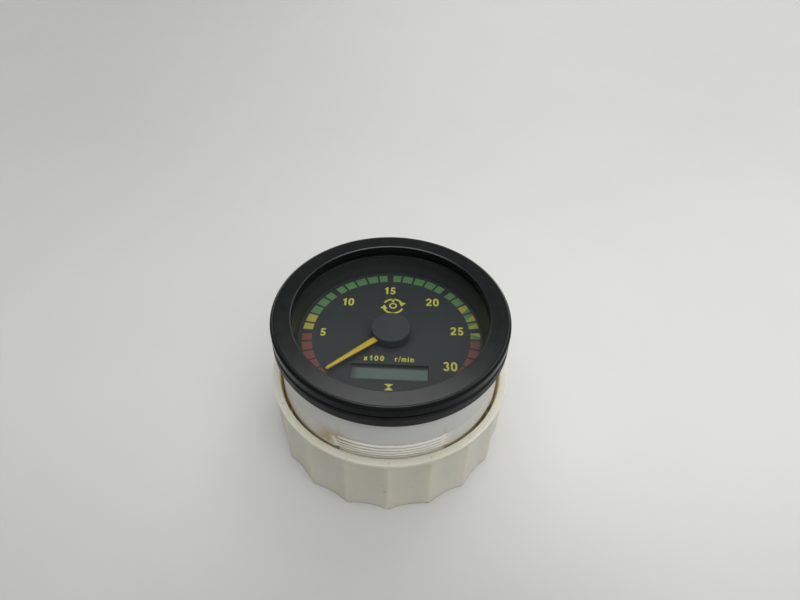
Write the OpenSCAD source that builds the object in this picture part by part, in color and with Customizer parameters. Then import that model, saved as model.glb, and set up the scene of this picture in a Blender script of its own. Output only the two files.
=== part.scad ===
// Panel tachometer with an hour-counter window, standing face up on its lock nut.
// The axis of the instrument is Z. The dial's "15" points towards +Y.
// Z = 0 is the bottom edge of the lock nut, where the instrument stands.

/* [Body] */
// Diameter of the smooth part of the body, which passes through the panel hole
body_d = 80; // [80:0.5:84]
// Height of the body's open front end above the bottom of the nut
body_top = 54.4; // [54.4:0.2:58]
// Height of the body's rear skirt edge above the bottom of the nut
skirt_z = 3.5; // [3:0.1:4.5]
// Height where the smooth part ends in a ledge and the thread begins
ledge_z = 36.8; // [35:0.1:38]
// Thickness of the body's wall at its smooth part
wall = 2; // [1.8:0.1:2.2]

/* [Thread] */
// Pitch of the thread
pitch = 1.65; // [1.5:0.05:2]
// Depth of the thread
thread_depth = 0.7; // [0.5:0.05:0.8]
// Width of each threaded sector in degrees
sector_w = 57; // [45:1:60]

/* [Bezel and seal] */
// How far the bezel stands out past the body's radius
bezel_over = 2.4; // [2.2:0.1:3]
// Height of the bezel's face above the body's open end
bezel_up = 5; // [4.9:0.1:5.4]
// Radius of the bezel's inner lip
lip_r = 35.2; // [34.6:0.1:35.4]
// Radius of the rounding on the bezel's outer edge
edge_r = 0.65; // [0.3:0.05:1]

/* [Lock nut] */
// Height of the lock nut
nut_h = 30.6; // [28:0.1:31]
// Number of grip lobes around the nut
lobes = 18; // [12:2:24]
// Height of one grip lobe from valley to ridge
lobe_h = 1.4; // [0.6:0.1:1.6]
// Gap between the nut's mouth and the body
skirt_gap = 2.4; // [2:0.1:2.6]

/* [Dial] */
// Height of the dial's face below the body's open end
dial_drop = 7.3; // [7.3:0.1:7.6]
// Visible radius of the dial
dial_vis_r = 33.7; // [33:0.1:34.2]
// Width of the counter window
window_w = 27.2; // [20:0.1:30]
// Height of the counter window
window_h = 6.6; // [5:0.1:9]

/* [Pointer] */
// Length of the pointer from the axis to its tip
pointer_len = 28.7; // [22:0.1:31]
// Width of the pointer at the hub
pointer_w = 2.3; // [1.6:0.1:3]
// Width of the pointer at its tip
tip_w = 1.2; // [0.8:0.1:1.6]
// Radius of the hub cap
hub_r = 7.2; // [6.6:0.1:9]
// Direction of the pointer at rest, on the zero mark
zero_deg = 219.7; // [215:0.1:225]

/* [Hidden] */
$fn = 96;

body_r = body_d/2;
in_r = body_r - wall;              // inside radius behind the dial
low_r = body_r - wall - 0.6;       // inside radius of the threaded part
major_r = body_r - 0.1;            // thread crest
minor_r = major_r - thread_depth;  // thread root
land_r = body_r - 0.45;            // plain lands beside the thread
neck_r = body_r - 0.5;             // neck that holds the seal
bezel_r = body_r + bezel_over;
face_z = body_top + bezel_up;      // front face of the bezel
seal_bot = body_top - 4.1;         // underside of the seal, on the panel
seal_top = body_top - 0.05;
glass_top = body_top + 2;
dial_z = body_top - dial_drop;     // face of the dial
nut_r = body_r + skirt_gap;        // inside radius of the nut's mouth
rim_r = nut_r + 2.2;               // outside radius of the nut's collar
ridge_r = rim_r - 0.4;
valley_r = ridge_r - lobe_h;
nut_bore = major_r + 0.06;         // crest of the nut's thread
wall_z0 = 8;                       // rear wall of the body
wall_z1 = 10;
board1_z = 13;                     // underside of the main board
board2_z = 38.4;                   // underside of the display board
board_t = 1.6;
board_r = low_r - 0.5;
posts = [[0, 32], [-26.2, -18.4], [26.2, -18.4]];
lamps = [[-24, 8], [24, 8]];
plug_c = [0, -18];                 // centre of the connector
sel_c = [0, 22];                   // centre of the selector
win_c = [-0.5, -17.7];             // centre of the counter window
mv_z = 31;                         // middle of the movement
pin_xy = [for (x = [-7.5, -2.5, 2.5, 7.5], y = [-2.75, 2.75]) [plug_c[0]+x, plug_c[1]+y]];
link_x = [for (i = [0:5]) -6.35 + 2.54*i];
link_y = -31;

// ---------- shared shapes ----------

// a turned shape from a list of [radius, height] points
module turned(p) rotate_extrude($fn = 144) polygon(p);

// a plain tube
module tube(ro, ri, z0, z1) {
  translate([0, 0, z0]) difference() {
    cylinder(r = ro, h = z1 - z0);
    translate([0, 0, -1]) cylinder(r = ri, h = z1 - z0 + 2);
  }
}

// a block centred in X and Y on c, from z0 to z1
module block(c, w, d, z0, z1)
  translate([c[0] - w/2, c[1] - d/2, z0]) cube([w, d, z1 - z0]);

// a disc on c
module disc(c, r, z0, z1) translate([c[0], c[1], z0]) cylinder(r = r, h = z1 - z0);

// quarter round from angle a0 to a1 about [r, z]
function arc(r, z, rad, a0, a1, n = 6) =
  [for (i = [0:n]) let (a = a0 + (a1 - a0)*i/n) [r + rad*cos(a), z + rad*sin(a)]];

// outline of the nut: shallow scallops between narrow ridges, one ridge at -Y
function wave(n) = [for (i = [0:n-1]) let (a = 360*i/n, h = 180/lobes,
  x = abs((a + 450 + h) % (2*h) - h)/h,          // 0 on a ridge, 1 in a valley
  f = (x < 0.12 ? x*x/0.24 : x - 0.06)/0.94, r = ridge_r - lobe_h*(1 - (1 - f)*(1 - f)))
  [r*cos(a), r*sin(a)]];

// comb of thread teeth between z0 and z1 with its crest at r1; its back is sunk under the root r0
function comb(r0, r1, z0, z1) = let (n = floor((z1 - z0)/pitch))
  concat([[r0 - 0.6, z0]],
    [for (i = [0:n-1], k = [0:3]) let (z = z0 + i*pitch)
      [k == 0 || k == 3 ? r0 - 0.3 : r1, z + pitch*[0.02, 0.40, 0.60, 0.98][k]]],
    [[r0 - 0.6, z0 + n*pitch]]);

// ---------- outside ----------

// black ring that clips over the front of the body
module bezel_ring() color([0.07, 0.07, 0.08])
  turned(concat(
    [[lip_r, glass_top + 0.05], [lip_r + 1.4, glass_top + 0.05], [lip_r + 1.4, face_z - 1.5],
     [body_r + 0.5, face_z - 1.5], [body_r + 0.5, body_top - 1.1], [body_r + 0.08, body_top - 1.1],
     [body_r + 0.08, body_top - 1.5], [body_r + 0.3, body_top - 1.8], [body_r + 1.4, body_top - 1.8],
     [body_r + 1.4, body_top + 0.3], [bezel_r - 0.3, body_top + 0.3], [bezel_r, body_top + 0.6]],
    arc(bezel_r - edge_r, face_z - edge_r, edge_r, 0, 90),
    arc(lip_r + 0.3, face_z - 0.3, 0.3, 90, 180, 3)));

// soft ring between the lens and the bezel
module lens_gasket() color([0.05, 0.05, 0.05])
  tube(body_r - 0.4, body_r - 2.8, glass_top, face_z - 1.5);

// flat front lens
module front_lens() color([0.8, 0.9, 0.95, 0.3])
  turned([[0, body_top], [body_r + 0.2, body_top], [body_r + 0.2, glass_top - 0.3],
    [body_r - 0.1, glass_top], [0, glass_top]]);

// rubber ring that lies on the front of the panel and hides the bezel's skirt; its rib sits on the body's neck
module panel_seal() color([0.06, 0.06, 0.06])
  turned(concat([[body_r + 0.05, seal_bot]],
    arc(bezel_r - 0.65, seal_bot + 0.6, 0.6, -90, 0, 4),
    arc(bezel_r - 0.35, seal_top - 0.3, 0.3, 0, 90, 3),
    [[body_r + 1.45, seal_top], [body_r + 1.45, body_top - 1.85], [neck_r + 0.05, body_top - 1.85],
     [neck_r + 0.05, seal_bot + 0.3], [body_r + 0.05, seal_bot + 0.3]]));

// moulded body: smooth front part, interrupted thread, rear wall set in from the skirt
module housing() color([0.82, 0.82, 0.80])
difference() {
  union() {
    turned([[low_r, skirt_z], [minor_r - 0.3, skirt_z], [minor_r, skirt_z + 0.3],
      [minor_r, ledge_z], [body_r, ledge_z], [body_r, seal_bot], [neck_r, seal_bot],
      [neck_r, body_top - 1.25], [body_r + 0.4, body_top - 0.8],
      [body_r + 0.4, body_top], [in_r, body_top], [in_r, ledge_z - 1.2], [low_r, ledge_z - 2]]);
    disc([0, 0], low_r + 0.5, wall_z0, wall_z1);
    // thread in two sectors, one of them facing -Y
    for (a = [-117, 63]) rotate([0, 0, a]) rotate_extrude(angle = sector_w, $fn = 144)
      polygon(comb(minor_r, major_r, skirt_z + 1, ledge_z - 0.35));
    // lands beside the thread, a little lower than its crests
    for (a = [-27, 153]) rotate([0, 0, a]) rotate_extrude(angle = 90.5, $fn = 144)
      polygon([[minor_r - 0.5, 28.3], [land_r - 0.3, 28.3], [land_r, 28.6],
        [land_r, ledge_z + 0.5], [minor_r - 0.5, ledge_z + 0.5]]);
    for (p = posts) disc(p, 3.2, wall_z1 - 0.5, board1_z);
  }
  block(plug_c, 27.4, 15.4, wall_z0 - 1, wall_z1 + 1);
  for (p = lamps) {
    disc(p, 6.08, wall_z0 - 1, wall_z1 + 1);
    block(p, 15.6, 4.4, wall_z0 - 1, wall_z1 + 1);
  }
  disc(sel_c, 5, wall_z0 - 1, wall_z1 + 1);
  for (p = posts) disc(p, 1.3, wall_z0 + 0.6, board1_z + 1);
}

// deep lock nut: scalloped grip, smooth skirt inside, thread only at its rear end
module lock_nut() color([0.88, 0.86, 0.80])
difference() {
  union() {
    linear_extrude(height = nut_h - 1.3) polygon(wave(lobes*12));
    turned(concat([[nut_bore + 1, nut_h - 2], [valley_r - 0.2, nut_h - 2.4],
      [ridge_r - 0.2, nut_h - 1.5]], arc(rim_r - 0.5, nut_h - 0.5, 0.5, 0, 90, 4),
      [[nut_bore + 1, nut_h]]));
  }
  turned([[0, 9], [nut_bore, 9], [nut_r - 0.6, 10.7], [nut_r - 0.6, nut_h - 2.5], [nut_r, nut_h - 0.3],
    [nut_r + 0.3, nut_h], [nut_r + 0.3, nut_h + 1], [0, nut_h + 1]]);
  turned(concat([[0, -1], [nut_bore + 0.9, -1], [nut_bore + 0.9, 0], [nut_bore, 0.8]],
    [for (i = [0:3], k = [0:3]) [nut_bore + (k == 0 || k == 3 ? 0 : thread_depth),
      1.2 + i*pitch + pitch*[0.06, 0.40, 0.60, 0.94][k]]],
    [[nut_bore, 9.5], [0, 9.5]]));
}

// ---------- dial ----------

// sloping ring between the lens and the dial
module dial_surround() color([0.12, 0.12, 0.13])
  turned([[dial_vis_r, dial_z + 0.02], [dial_vis_r + 1.3, dial_z + 0.02], [in_r - 1.4, body_top - 1.3],
    [in_r - 0.1, body_top - 1.3], [in_r - 0.1, body_top], [dial_vis_r + 1.8, body_top]]);

// printed dial with the counter window
module dial_plate() color([0.16, 0.17, 0.18])
difference() {
  disc([0, 0], low_r - 0.4, dial_z - 0.8, dial_z);
  disc([0, 0], 2.2, dial_z - 2, dial_z + 1);
  block(win_c, window_w, window_h, dial_z - 2, dial_z + 1);
}

// clear plate that spreads the lamps' light behind the dial
module light_guide() color([0.9, 0.95, 0.95, 0.5])
difference() {
  union() {
    disc([0, 0], board_r, dial_z - 3.8, dial_z - 0.8);
    tube(board_r, board_r - 1.9, board2_z + board_t, dial_z - 3.5);
    for (p = lamps) disc(p, 5, dial_z - 6, dial_z - 3.5);
  }
  disc([0, 0], 4, dial_z - 5, dial_z);
  block(win_c, 38.6, 16.6, dial_z - 5, dial_z);
}

// pointer blade with its hub
module needle() color([0.85, 0.62, 0.15])
rotate([0, 0, zero_deg]) difference() {
  union() {
    translate([0, 0, dial_z + 1]) cylinder(r = 5, h = 2.1);
    translate([0, 0, dial_z + 2]) linear_extrude(height = 0.8)
      polygon([[-4, -1.2], [3, -pointer_w/2 - 0.15], [pointer_len - 0.4, -tip_w/2], [pointer_len, -tip_w/2 + 0.35],
        [pointer_len, tip_w/2 - 0.35], [pointer_len - 0.4, tip_w/2], [3, pointer_w/2 + 0.15], [-4, 1.2]]);
  }
  cylinder(r = 0.77, h = 80);
}

// cup-shaped cap over the pointer's hub, with a slot that the blade comes out of
module hub_cap() color([0.22, 0.22, 0.23])
difference() {
  turned(concat([[0, dial_z + 3.1], [5.05, dial_z + 3.1], [5.05, dial_z + 0.8], [hub_r, dial_z + 0.8]],
    arc(hub_r - 0.4, dial_z + 3.8, 0.4, 0, 90, 4), [[0, dial_z + 4.2]]));
  translate([0, 0, dial_z + 2]) cylinder(r = 0.8, h = 1.8);
  rotate([0, 0, zero_deg]) translate([4, -1.5, dial_z]) cube([6, 3, 2.85]);
}

// ---------- movement ----------

// shaft that carries the magnet and the pointer
module pointer_shaft() color([0.75, 0.75, 0.76])
  translate([0, 0, mv_z - 4.08]) cylinder(r = 0.75, h = dial_z + 3.6 - mv_z + 4.08, $fn = 48);

// disc magnet of the movement
module rotor_magnet() color([0.3, 0.3, 0.32])
  tube(6, 0.77, mv_z - 2.1, mv_z + 2.1);

// halves of the coil former, each with a recess for half the magnet and four legs
module bobbin_lower() color([0.15, 0.2, 0.3])
  translate([0, 0, mv_z]) mirror([0, 0, 1]) translate([0, 0, -mv_z]) bobbin_shape(mv_z - 24);
module bobbin_upper() color([0.15, 0.2, 0.3]) bobbin_shape(board2_z - mv_z);
// leg is how far a leg reaches from the middle of the movement
module bobbin_shape(leg) translate([0, 0, mv_z]) difference() {
  union() {
    cylinder(r = 8, h = 4.4);
    for (a = [45:90:315]) rotate([0, 0, a]) {
      translate([6.5, -1, 0]) cube([5.5, 2, 3]);
      translate([11.7, 0, 0]) cylinder(r = 1.5, h = leg);
    }
  }
  translate([0, 0, -1]) cylinder(r = 6.4, h = 3.4);
  translate([0, 0, -1]) cylinder(r = 1.7, h = 10);
}

// one winding of two bands, leaving a gap for the shaft; w and h are its inside size
module winding(w, h, t) for (s = [-1, 1]) translate([0, s*3.65, mv_z]) difference() {
  cube([w + 2*t, 3.7, h + 2*t], center = true);
  cube([w, 5, h], center = true);
}
module coil_inner() color([0.72, 0.42, 0.2]) winding(16.2, 9, 1.2);
module coil_outer() color([0.72, 0.42, 0.2]) rotate([0, 0, 90]) winding(18.8, 11.6, 1.1);

// steel can around the movement
module movement_can() color([0.65, 0.66, 0.68])
  turned([[0, 23.4], [14, 23.4], [14, board2_z], [13.4, board2_z], [13.4, 24], [0, 24]]);

module lower_bush() color([0.8, 0.65, 0.3])
  turned([[0, mv_z - 4.4], [1.68, mv_z - 4.4], [1.68, mv_z - 2.4], [0.8, mv_z - 2.4],
    [0.8, mv_z - 4.1], [0, mv_z - 4.1]]);
module upper_bush() color([0.8, 0.65, 0.3])
  tube(1.68, 0.8, mv_z + 2.4, mv_z + 7);

// ---------- boards ----------

module display_board() color([0.1, 0.35, 0.2])
difference() {
  disc([0, 0], board_r, board2_z, board2_z + board_t);
  disc([0, 0], 2.4, board2_z - 1, board2_z + 3);
  for (p = posts) disc(p, 1.6, board2_z - 1, board2_z + 3);
  for (p = lamps) disc(p, 7, board2_z - 1, board2_z + 3);
  for (x = link_x) disc([x, link_y], 0.5, board2_z - 1, board2_z + 3);
}

// controller chip and small parts on the back and front of the display board
module display_parts() color([0.1, 0.1, 0.1]) {
  block([0, 22], 10, 10, board2_z - 1.5, board2_z);
  block([-17, -8], 6, 4.4, board2_z - 1.6, board2_z);
  block([17, -8], 6, 4.4, board2_z - 1.6, board2_z);
  for (i = [0:3]) block([-9 + 6*i, 14], 2, 1.2, board2_z + board_t, board2_z + board_t + 0.7);
  for (s = [-1, 1]) block([s*12, 4], 3.2, 1.6, board2_z + board_t, board2_z + board_t + 1);
}

// glass cell of the counter
module counter_glass() color([0.5, 0.58, 0.55])
  block(win_c, 34, 12.2, dial_z - 3.2, dial_z - 1);

// frame that holds the glass against the board
module counter_frame() color([0.9, 0.9, 0.9])
difference() {
  block(win_c, 38, 16, board2_z + board_t, dial_z - 0.8);
  block(win_c, 34.4, 12.6, dial_z - 3.3, dial_z);
  block(win_c, 31.6, 12.6, board2_z, dial_z - 3);
}

// two elastic contact strips under the glass
module counter_contacts() color([0.2, 0.2, 0.22])
  for (s = [-1, 1]) block([win_c[0], win_c[1] + s*5], 30, 2, board2_z + board_t, dial_z - 3.2);

// block that lights the glass from behind
module counter_diffuser() color([0.95, 0.95, 0.95, 0.7])
  block(win_c, 30, 7.2, board2_z + board_t, dial_z - 3.5);

module main_board() color([0.1, 0.35, 0.2])
difference() {
  disc([0, 0], board_r, board1_z, board1_z + board_t);
  for (p = posts) disc(p, 1.6, board1_z - 1, board1_z + 3);
  for (p = lamps) disc(p, 8.2, board1_z - 1, board1_z + 3);
  for (x = link_x) disc([x, link_y], 0.5, board1_z - 1, board1_z + 3);
  for (p = pin_xy) block(p, 1.7, 0.84, board1_z - 1, board1_z + 3);
}

// capacitors, coil, regulator and chips on the main board
module main_parts() color([0.15, 0.15, 0.17]) {
  z = board1_z + board_t;
  disc([-14, 22], 4, z, z + 11);
  disc([14, 23], 3.2, z, z + 8);
  disc([-15, -7], 4.5, z, z + 6);
  block([15, -7], 10, 9, z, z + 4);
  block([-5, 3], 4, 8.7, z, z + 1.6);
  block([5, 3], 4, 5, z, z + 1.6);
  for (i = [0:4]) block([-8 + 4*i, 12], 1.6, 3.2, z, z + 0.6);
}

// pin strip that joins the two boards
module board_link() color([0.8, 0.7, 0.35]) {
  for (x = link_x) disc([x, link_y], 0.35, board1_z - 0.8, board2_z + board_t + 0.8);
  block([0, link_y], 15.4, 2.4, board1_z + board_t, board1_z + board_t + 2.5);
  block([0, link_y], 15.4, 2.4, board2_z - 2.5, board2_z);
}

// tubes that keep the boards apart
module spacers() color([0.85, 0.85, 0.82])
  for (p = posts) translate([p[0], p[1], 0]) tube(3, 1.6, board1_z + board_t, board2_z);

// long screws through both boards into the body
module board_screws() color([0.7, 0.7, 0.7])
  for (p = posts) translate([p[0], p[1], 0]) difference() {
    union() {
      translate([0, 0, 9]) cylinder(r = 1.25, h = board2_z + board_t - 9 + 0.5);
      translate([0, 0, board2_z + board_t]) cylinder(r = 2.75, h = 2);
    }
    for (a = [0, 90]) rotate([0, 0, a])
      translate([-1.7, -0.35, board2_z + board_t + 1]) cube([3.4, 0.7, 2]);
  }

// ---------- rear ----------

// plug socket on the main board, seen through the rear wall
module connector_shell() color([0.08, 0.08, 0.08])
difference() {
  union() {
    block(plug_c, 27, 15, 2, board1_z);
    block([plug_c[0], plug_c[1] + 8], 6, 1.2, 2.6, 5.2);
  }
  block(plug_c, 24, 12, 1, 11);
  for (p = pin_xy) block(p, 1.6, 0.74, 10, board1_z + 1);
}

// flat pins of the socket
module terminal_pins() color([0.85, 0.83, 0.75])
  for (p = pin_xy) block(p, 1.5, 0.64, 6.5, 15.8);

// rotary selector under the main board: case and turning part
module selector_body() color([0.12, 0.3, 0.55])
difference() {
  block(sel_c, 10, 10, 10.3, board1_z);
  disc(sel_c, 3.05, 9, 12.7);
}
module selector_rotor() color([0.9, 0.9, 0.88])
difference() {
  disc(sel_c, 3, 9, 12.5);
  block(sel_c, 4.4, 0.8, 8, 9.8);
}

// soft plug in the selector's access hole
module access_plug() color([0.1, 0.1, 0.1]) translate([sel_c[0], sel_c[1], 0])
  turned([[0, 4.4], [1.5, 4.4], [1.5, 6.2], [6.2, 6.2], [6.5, 6.5], [6.5, 7.7], [4.94, 7.7],
    [4.94, 9.5], [4.7, 9.8], [3.8, 9.8], [3.8, 7.7], [0, 7.7]]);

// quarter-turn lamp holder on point p
module lamp_holder(p) translate([p[0], p[1], 0]) difference() {
  union() {
    disc([0, 0], 8, 6.2, 7.7);
    disc([0, 0], 6, 7, 14.5);
    block([0, 0], 14, 3, 3.4, 6.5);
    intersection() {
      disc([0, 0], 7.6, 10.3, 11.8);
      block([0, 0], 4, 16, 10, 12);
    }
  }
  disc([0, 0], 4.75, 12.1, 15);
  block([0, 0], 8.6, 2.6, 8.2, 13);
}

// capless lamp on point p
module lamp(p) translate([p[0], p[1], 0]) {
  block([0, 0], 8.4, 2.4, 8.4, 12.6);
  turned(concat([[0, 12.2], [4.6, 12.2]], arc(0, 27, 4.6, 0, 90, 10)));
}
module bulb_holder_left() color([0.2, 0.2, 0.2]) lamp_holder(lamps[0]);
module bulb_left() color([0.9, 0.9, 0.85, 0.5]) lamp(lamps[0]);
module bulb_holder_right() color([0.2, 0.2, 0.2]) lamp_holder(lamps[1]);
module bulb_right() color([0.9, 0.9, 0.85, 0.5]) lamp(lamps[1]);

bezel_ring();
lens_gasket();
front_lens();
panel_seal();
housing();
lock_nut();
dial_surround();
dial_plate();
light_guide();
needle();
hub_cap();
pointer_shaft();
rotor_magnet();
bobbin_lower();
bobbin_upper();
coil_inner();
coil_outer();
movement_can();
lower_bush();
upper_bush();
display_board();
display_parts();
counter_glass();
counter_frame();
counter_contacts();
counter_diffuser();
main_board();
main_parts();
board_link();
spacers();
board_screws();
connector_shell();
terminal_pins();
selector_body();
selector_rotor();
access_plug();
bulb_holder_left();
bulb_left();
bulb_holder_right();
bulb_right();
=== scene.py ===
# Looks of a round panel tachometer with a counter window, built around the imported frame.
# Shapes are worked out in millimetres and made in metres, in the frame of the CAD model.
import math
import random

import bmesh
import bpy
from mathutils import Matrix, Vector


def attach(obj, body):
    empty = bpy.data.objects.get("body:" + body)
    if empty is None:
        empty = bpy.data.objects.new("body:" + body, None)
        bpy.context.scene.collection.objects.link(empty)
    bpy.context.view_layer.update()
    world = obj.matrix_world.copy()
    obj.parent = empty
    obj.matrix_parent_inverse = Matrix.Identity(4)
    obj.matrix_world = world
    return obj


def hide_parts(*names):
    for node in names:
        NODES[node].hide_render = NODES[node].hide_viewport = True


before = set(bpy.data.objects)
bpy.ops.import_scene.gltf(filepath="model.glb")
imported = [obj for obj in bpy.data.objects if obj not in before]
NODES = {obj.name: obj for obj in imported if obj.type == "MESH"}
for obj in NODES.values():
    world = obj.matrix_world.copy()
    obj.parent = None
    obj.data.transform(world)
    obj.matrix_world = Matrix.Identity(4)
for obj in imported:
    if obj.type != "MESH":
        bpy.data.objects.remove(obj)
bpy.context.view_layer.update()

MM = 0.001
scene = bpy.context.scene
WIN = (-0.3, -17.62, 27.2, 6.6, -2.2)     # centre, size and turn of the counter window in the dial


# ---------------------------------------------------------------- materials

class Finish:
    """A node material. P is the position in millimetres in the object's own frame."""

    def __init__(self, name):
        self.m = bpy.data.materials.new(name)
        self.m.use_nodes = True
        self.t = self.m.node_tree
        self.t.nodes.clear()
        self.out = self.n("ShaderNodeOutputMaterial")
        tc = self.n("ShaderNodeTexCoord")
        sc = self.n("ShaderNodeVectorMath", operation="SCALE")
        sc.inputs["Scale"].default_value = 1000.0
        self.l(tc.outputs["Object"], sc.inputs[0])
        self.P = sc.outputs[0]
        self._xyz = None

    def n(self, kind, **props):
        node = self.t.nodes.new(kind)
        for k, v in props.items():
            setattr(node, k, v)
        return node

    def l(self, a, b):
        self.t.links.new(a, b)

    def put(self, socket, value):
        if isinstance(value, bpy.types.NodeSocket):
            self.l(value, socket)
        elif isinstance(value, (tuple, list)) and len(value) == 3 and socket.type == "RGBA":
            socket.default_value = (*value, 1)
        else:
            socket.default_value = value

    def xyz(self):
        if self._xyz is None:
            s = self.n("ShaderNodeSeparateXYZ")
            self.l(self.P, s.inputs[0])
            self._xyz = s.outputs
        return self._xyz

    def math(self, op, a, b=0.0, clamp=False):
        m = self.n("ShaderNodeMath", operation=op, use_clamp=clamp)
        self.put(m.inputs[0], a)
        self.put(m.inputs[1], b)
        return m.outputs[0]

    def radius(self):
        x, y, _ = self.xyz()
        return self.math("SQRT", self.math("ADD", self.math("MULTIPLY", x, x), self.math("MULTIPLY", y, y)))

    def near(self, c, r):
        """1 at point c, falling to 0 at distance r; c may be 3 numbers in mm."""
        d = self.n("ShaderNodeVectorMath", operation="DISTANCE")
        self.l(self.P, d.inputs[0])
        d.inputs[1].default_value = c
        return self.span(d.outputs["Value"], 0.0, r, 1.0, 0.0)

    def span(self, v, a, b, c=0.0, d=1.0, smooth=True):
        m = self.n("ShaderNodeMapRange", interpolation_type="SMOOTHSTEP" if smooth else "LINEAR")
        self.put(m.inputs["Value"], v)
        m.inputs["From Min"].default_value = a
        m.inputs["From Max"].default_value = b
        m.inputs["To Min"].default_value = c
        m.inputs["To Max"].default_value = d
        return m.outputs[0]

    def noise(self, scale, detail=4.0, rough=0.55, stretch=None, distortion=0.0, seed=0.0):
        v = self.P
        if stretch is not None or seed:
            mp = self.n("ShaderNodeMapping")
            self.l(v, mp.inputs["Vector"])
            mp.inputs["Scale"].default_value = stretch or (1, 1, 1)
            mp.inputs["Location"].default_value = (seed, seed * 1.7, seed * 0.6)
            v = mp.outputs[0]
        t = self.n("ShaderNodeTexNoise")
        self.l(v, t.inputs["Vector"])
        t.inputs["Scale"].default_value = scale
        t.inputs["Detail"].default_value = detail
        t.inputs["Roughness"].default_value = rough
        t.inputs["Distortion"].default_value = distortion
        return t.outputs["Fac"]

    def specks(self, scale, size, seed=0.0, keep=0.5):
        """Small round specks, one in about every second cell."""
        mp = self.n("ShaderNodeMapping")
        self.l(self.P, mp.inputs["Vector"])
        mp.inputs["Location"].default_value = (seed, seed * 1.3, seed * 2.1)
        t = self.n("ShaderNodeTexVoronoi")
        self.l(mp.outputs[0], t.inputs["Vector"])
        t.inputs["Scale"].default_value = scale
        dot = self.span(t.outputs["Distance"], size * 0.5, size, 1.0, 0.0)
        s = self.n("ShaderNodeSeparateColor")
        self.l(t.outputs["Color"], s.inputs[0])
        return self.math("MULTIPLY", dot, self.math("LESS_THAN", s.outputs[0], keep))

    def ramp(self, fac, stops):
        r = self.n("ShaderNodeValToRGB")
        e = r.color_ramp.elements
        while len(e) > 1:
            e.remove(e[-1])
        for i, (p, c) in enumerate(stops):
            el = e[0] if i == 0 else e.new(p)
            el.position = p
            el.color = (*c, 1) if len(c) == 3 else c
        self.l(fac, r.inputs[0])
        return r.outputs[0]

    def mix(self, fac, a, b, blend="MIX"):
        m = self.n("ShaderNodeMix", data_type="RGBA", blend_type=blend)
        self.put(m.inputs[0], fac)
        self.put(m.inputs[6], a)
        self.put(m.inputs[7], b)
        return m.outputs[2]

    def vary(self, colour, amount=0.12, scale=0.15, detail=5.0, seed=0.0):
        """The colour with soft uneven patches."""
        lo = tuple(c * (1 - amount) for c in colour)
        hi = tuple(min(1, c * (1 + amount)) for c in colour)
        return self.ramp(self.noise(scale, detail, 0.6, seed=seed), [(0.3, lo), (0.7, hi)])

    def bump(self, height, dist_mm, strength=1.0, normal=None):
        b = self.n("ShaderNodeBump")
        b.inputs["Strength"].default_value = strength
        b.inputs["Distance"].default_value = dist_mm * MM
        self.l(height, b.inputs["Height"])
        if normal is not None:
            self.l(normal, b.inputs["Normal"])
        return b.outputs[0]

    def surface(self, **sockets):
        b = self.n("ShaderNodeBsdfPrincipled")
        for k, v in sockets.items():
            self.put(b.inputs[k.replace("_", " ")], v)
        self.l(b.outputs[0], self.out.inputs["Surface"])
        return b


def moulded(name, colour, rough=(0.3, 0.42), grain=8.0, grain_mm=0.004, amount=0.1, dust=0.0, dust_colour=(0.3, 0.3, 0.28),
            spec=0.5, wave_mm=0.0, sss=0.0, sss_radius=(1, 1, 1), seed=0.0, patch=0.12):
    """A moulded plastic or rubber: uneven colour, fine grain, polished and dull patches, a little dust."""
    f = Finish(name)
    col = f.vary(colour, amount, patch, seed=seed)
    if dust:
        spots = f.math("MULTIPLY", f.specks(1.3, 0.16, seed=seed + 3, keep=0.35), f.span(f.noise(0.12, 3, seed=seed + 9), 0.45, 0.7))
        film = f.span(f.noise(0.35, 6, 0.7, seed=seed + 5), 0.5, 0.85, 0.0, 0.35)
        col = f.mix(f.math("MULTIPLY", f.math("MAXIMUM", spots, film), dust, clamp=True), col, dust_colour)
    ro = f.span(f.noise(0.28, 6, 0.65, seed=seed + 2), 0.3, 0.7, rough[0], rough[1])
    nrm = f.bump(f.noise(grain, 3, 0.6, seed=seed), grain_mm)
    if wave_mm:
        nrm = f.bump(f.noise(0.09, 2, 0.5, seed=seed + 1), wave_mm, normal=nrm)
    extra = {}
    if sss:
        extra = {"Subsurface_Weight": sss, "Subsurface_Radius": sss_radius, "Subsurface_Scale": 0.001}
    f.surface(Base_Color=col, Roughness=ro, Normal=nrm, Specular_IOR_Level=spec, **extra)
    return f.m


def metal(name, colour, rough=(0.2, 0.35), stretch=None, tarnish=None, amount=0.08, grain=6.0, grain_mm=0.003):
    """A bare or plated metal with fine drawn lines and tarnish in patches."""
    f = Finish(name)
    col = f.vary(colour, amount, 0.3)
    if tarnish:
        col = f.mix(f.span(f.noise(0.5, 6, 0.65, seed=4), 0.5, 0.75), col, tarnish)
    ro = f.span(f.noise(1.2, 5, 0.6, stretch=stretch), 0.3, 0.7, rough[0], rough[1])
    f.surface(Base_Color=col, Roughness=ro, Metallic=1.0, Normal=f.bump(f.noise(grain, 3, 0.6, stretch=stretch), grain_mm))
    return f.m


def printed(name, colour, amount=0.06, rough=(0.45, 0.6)):
    """Screen-printed ink on the dial: slightly uneven cover, fine matt grain."""
    f = Finish(name)
    col = f.vary(colour, amount, 0.6, 6)
    thin = f.span(f.noise(9, 3, 0.6, seed=7), 0.62, 0.8, 0.0, 0.25)
    col = f.mix(thin, col, tuple(c * 0.55 for c in colour))
    f.surface(Base_Color=col, Roughness=f.span(f.noise(3, 4), 0.3, 0.7, *rough), Normal=f.bump(f.noise(14, 2), 0.003))
    return f.m


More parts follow.
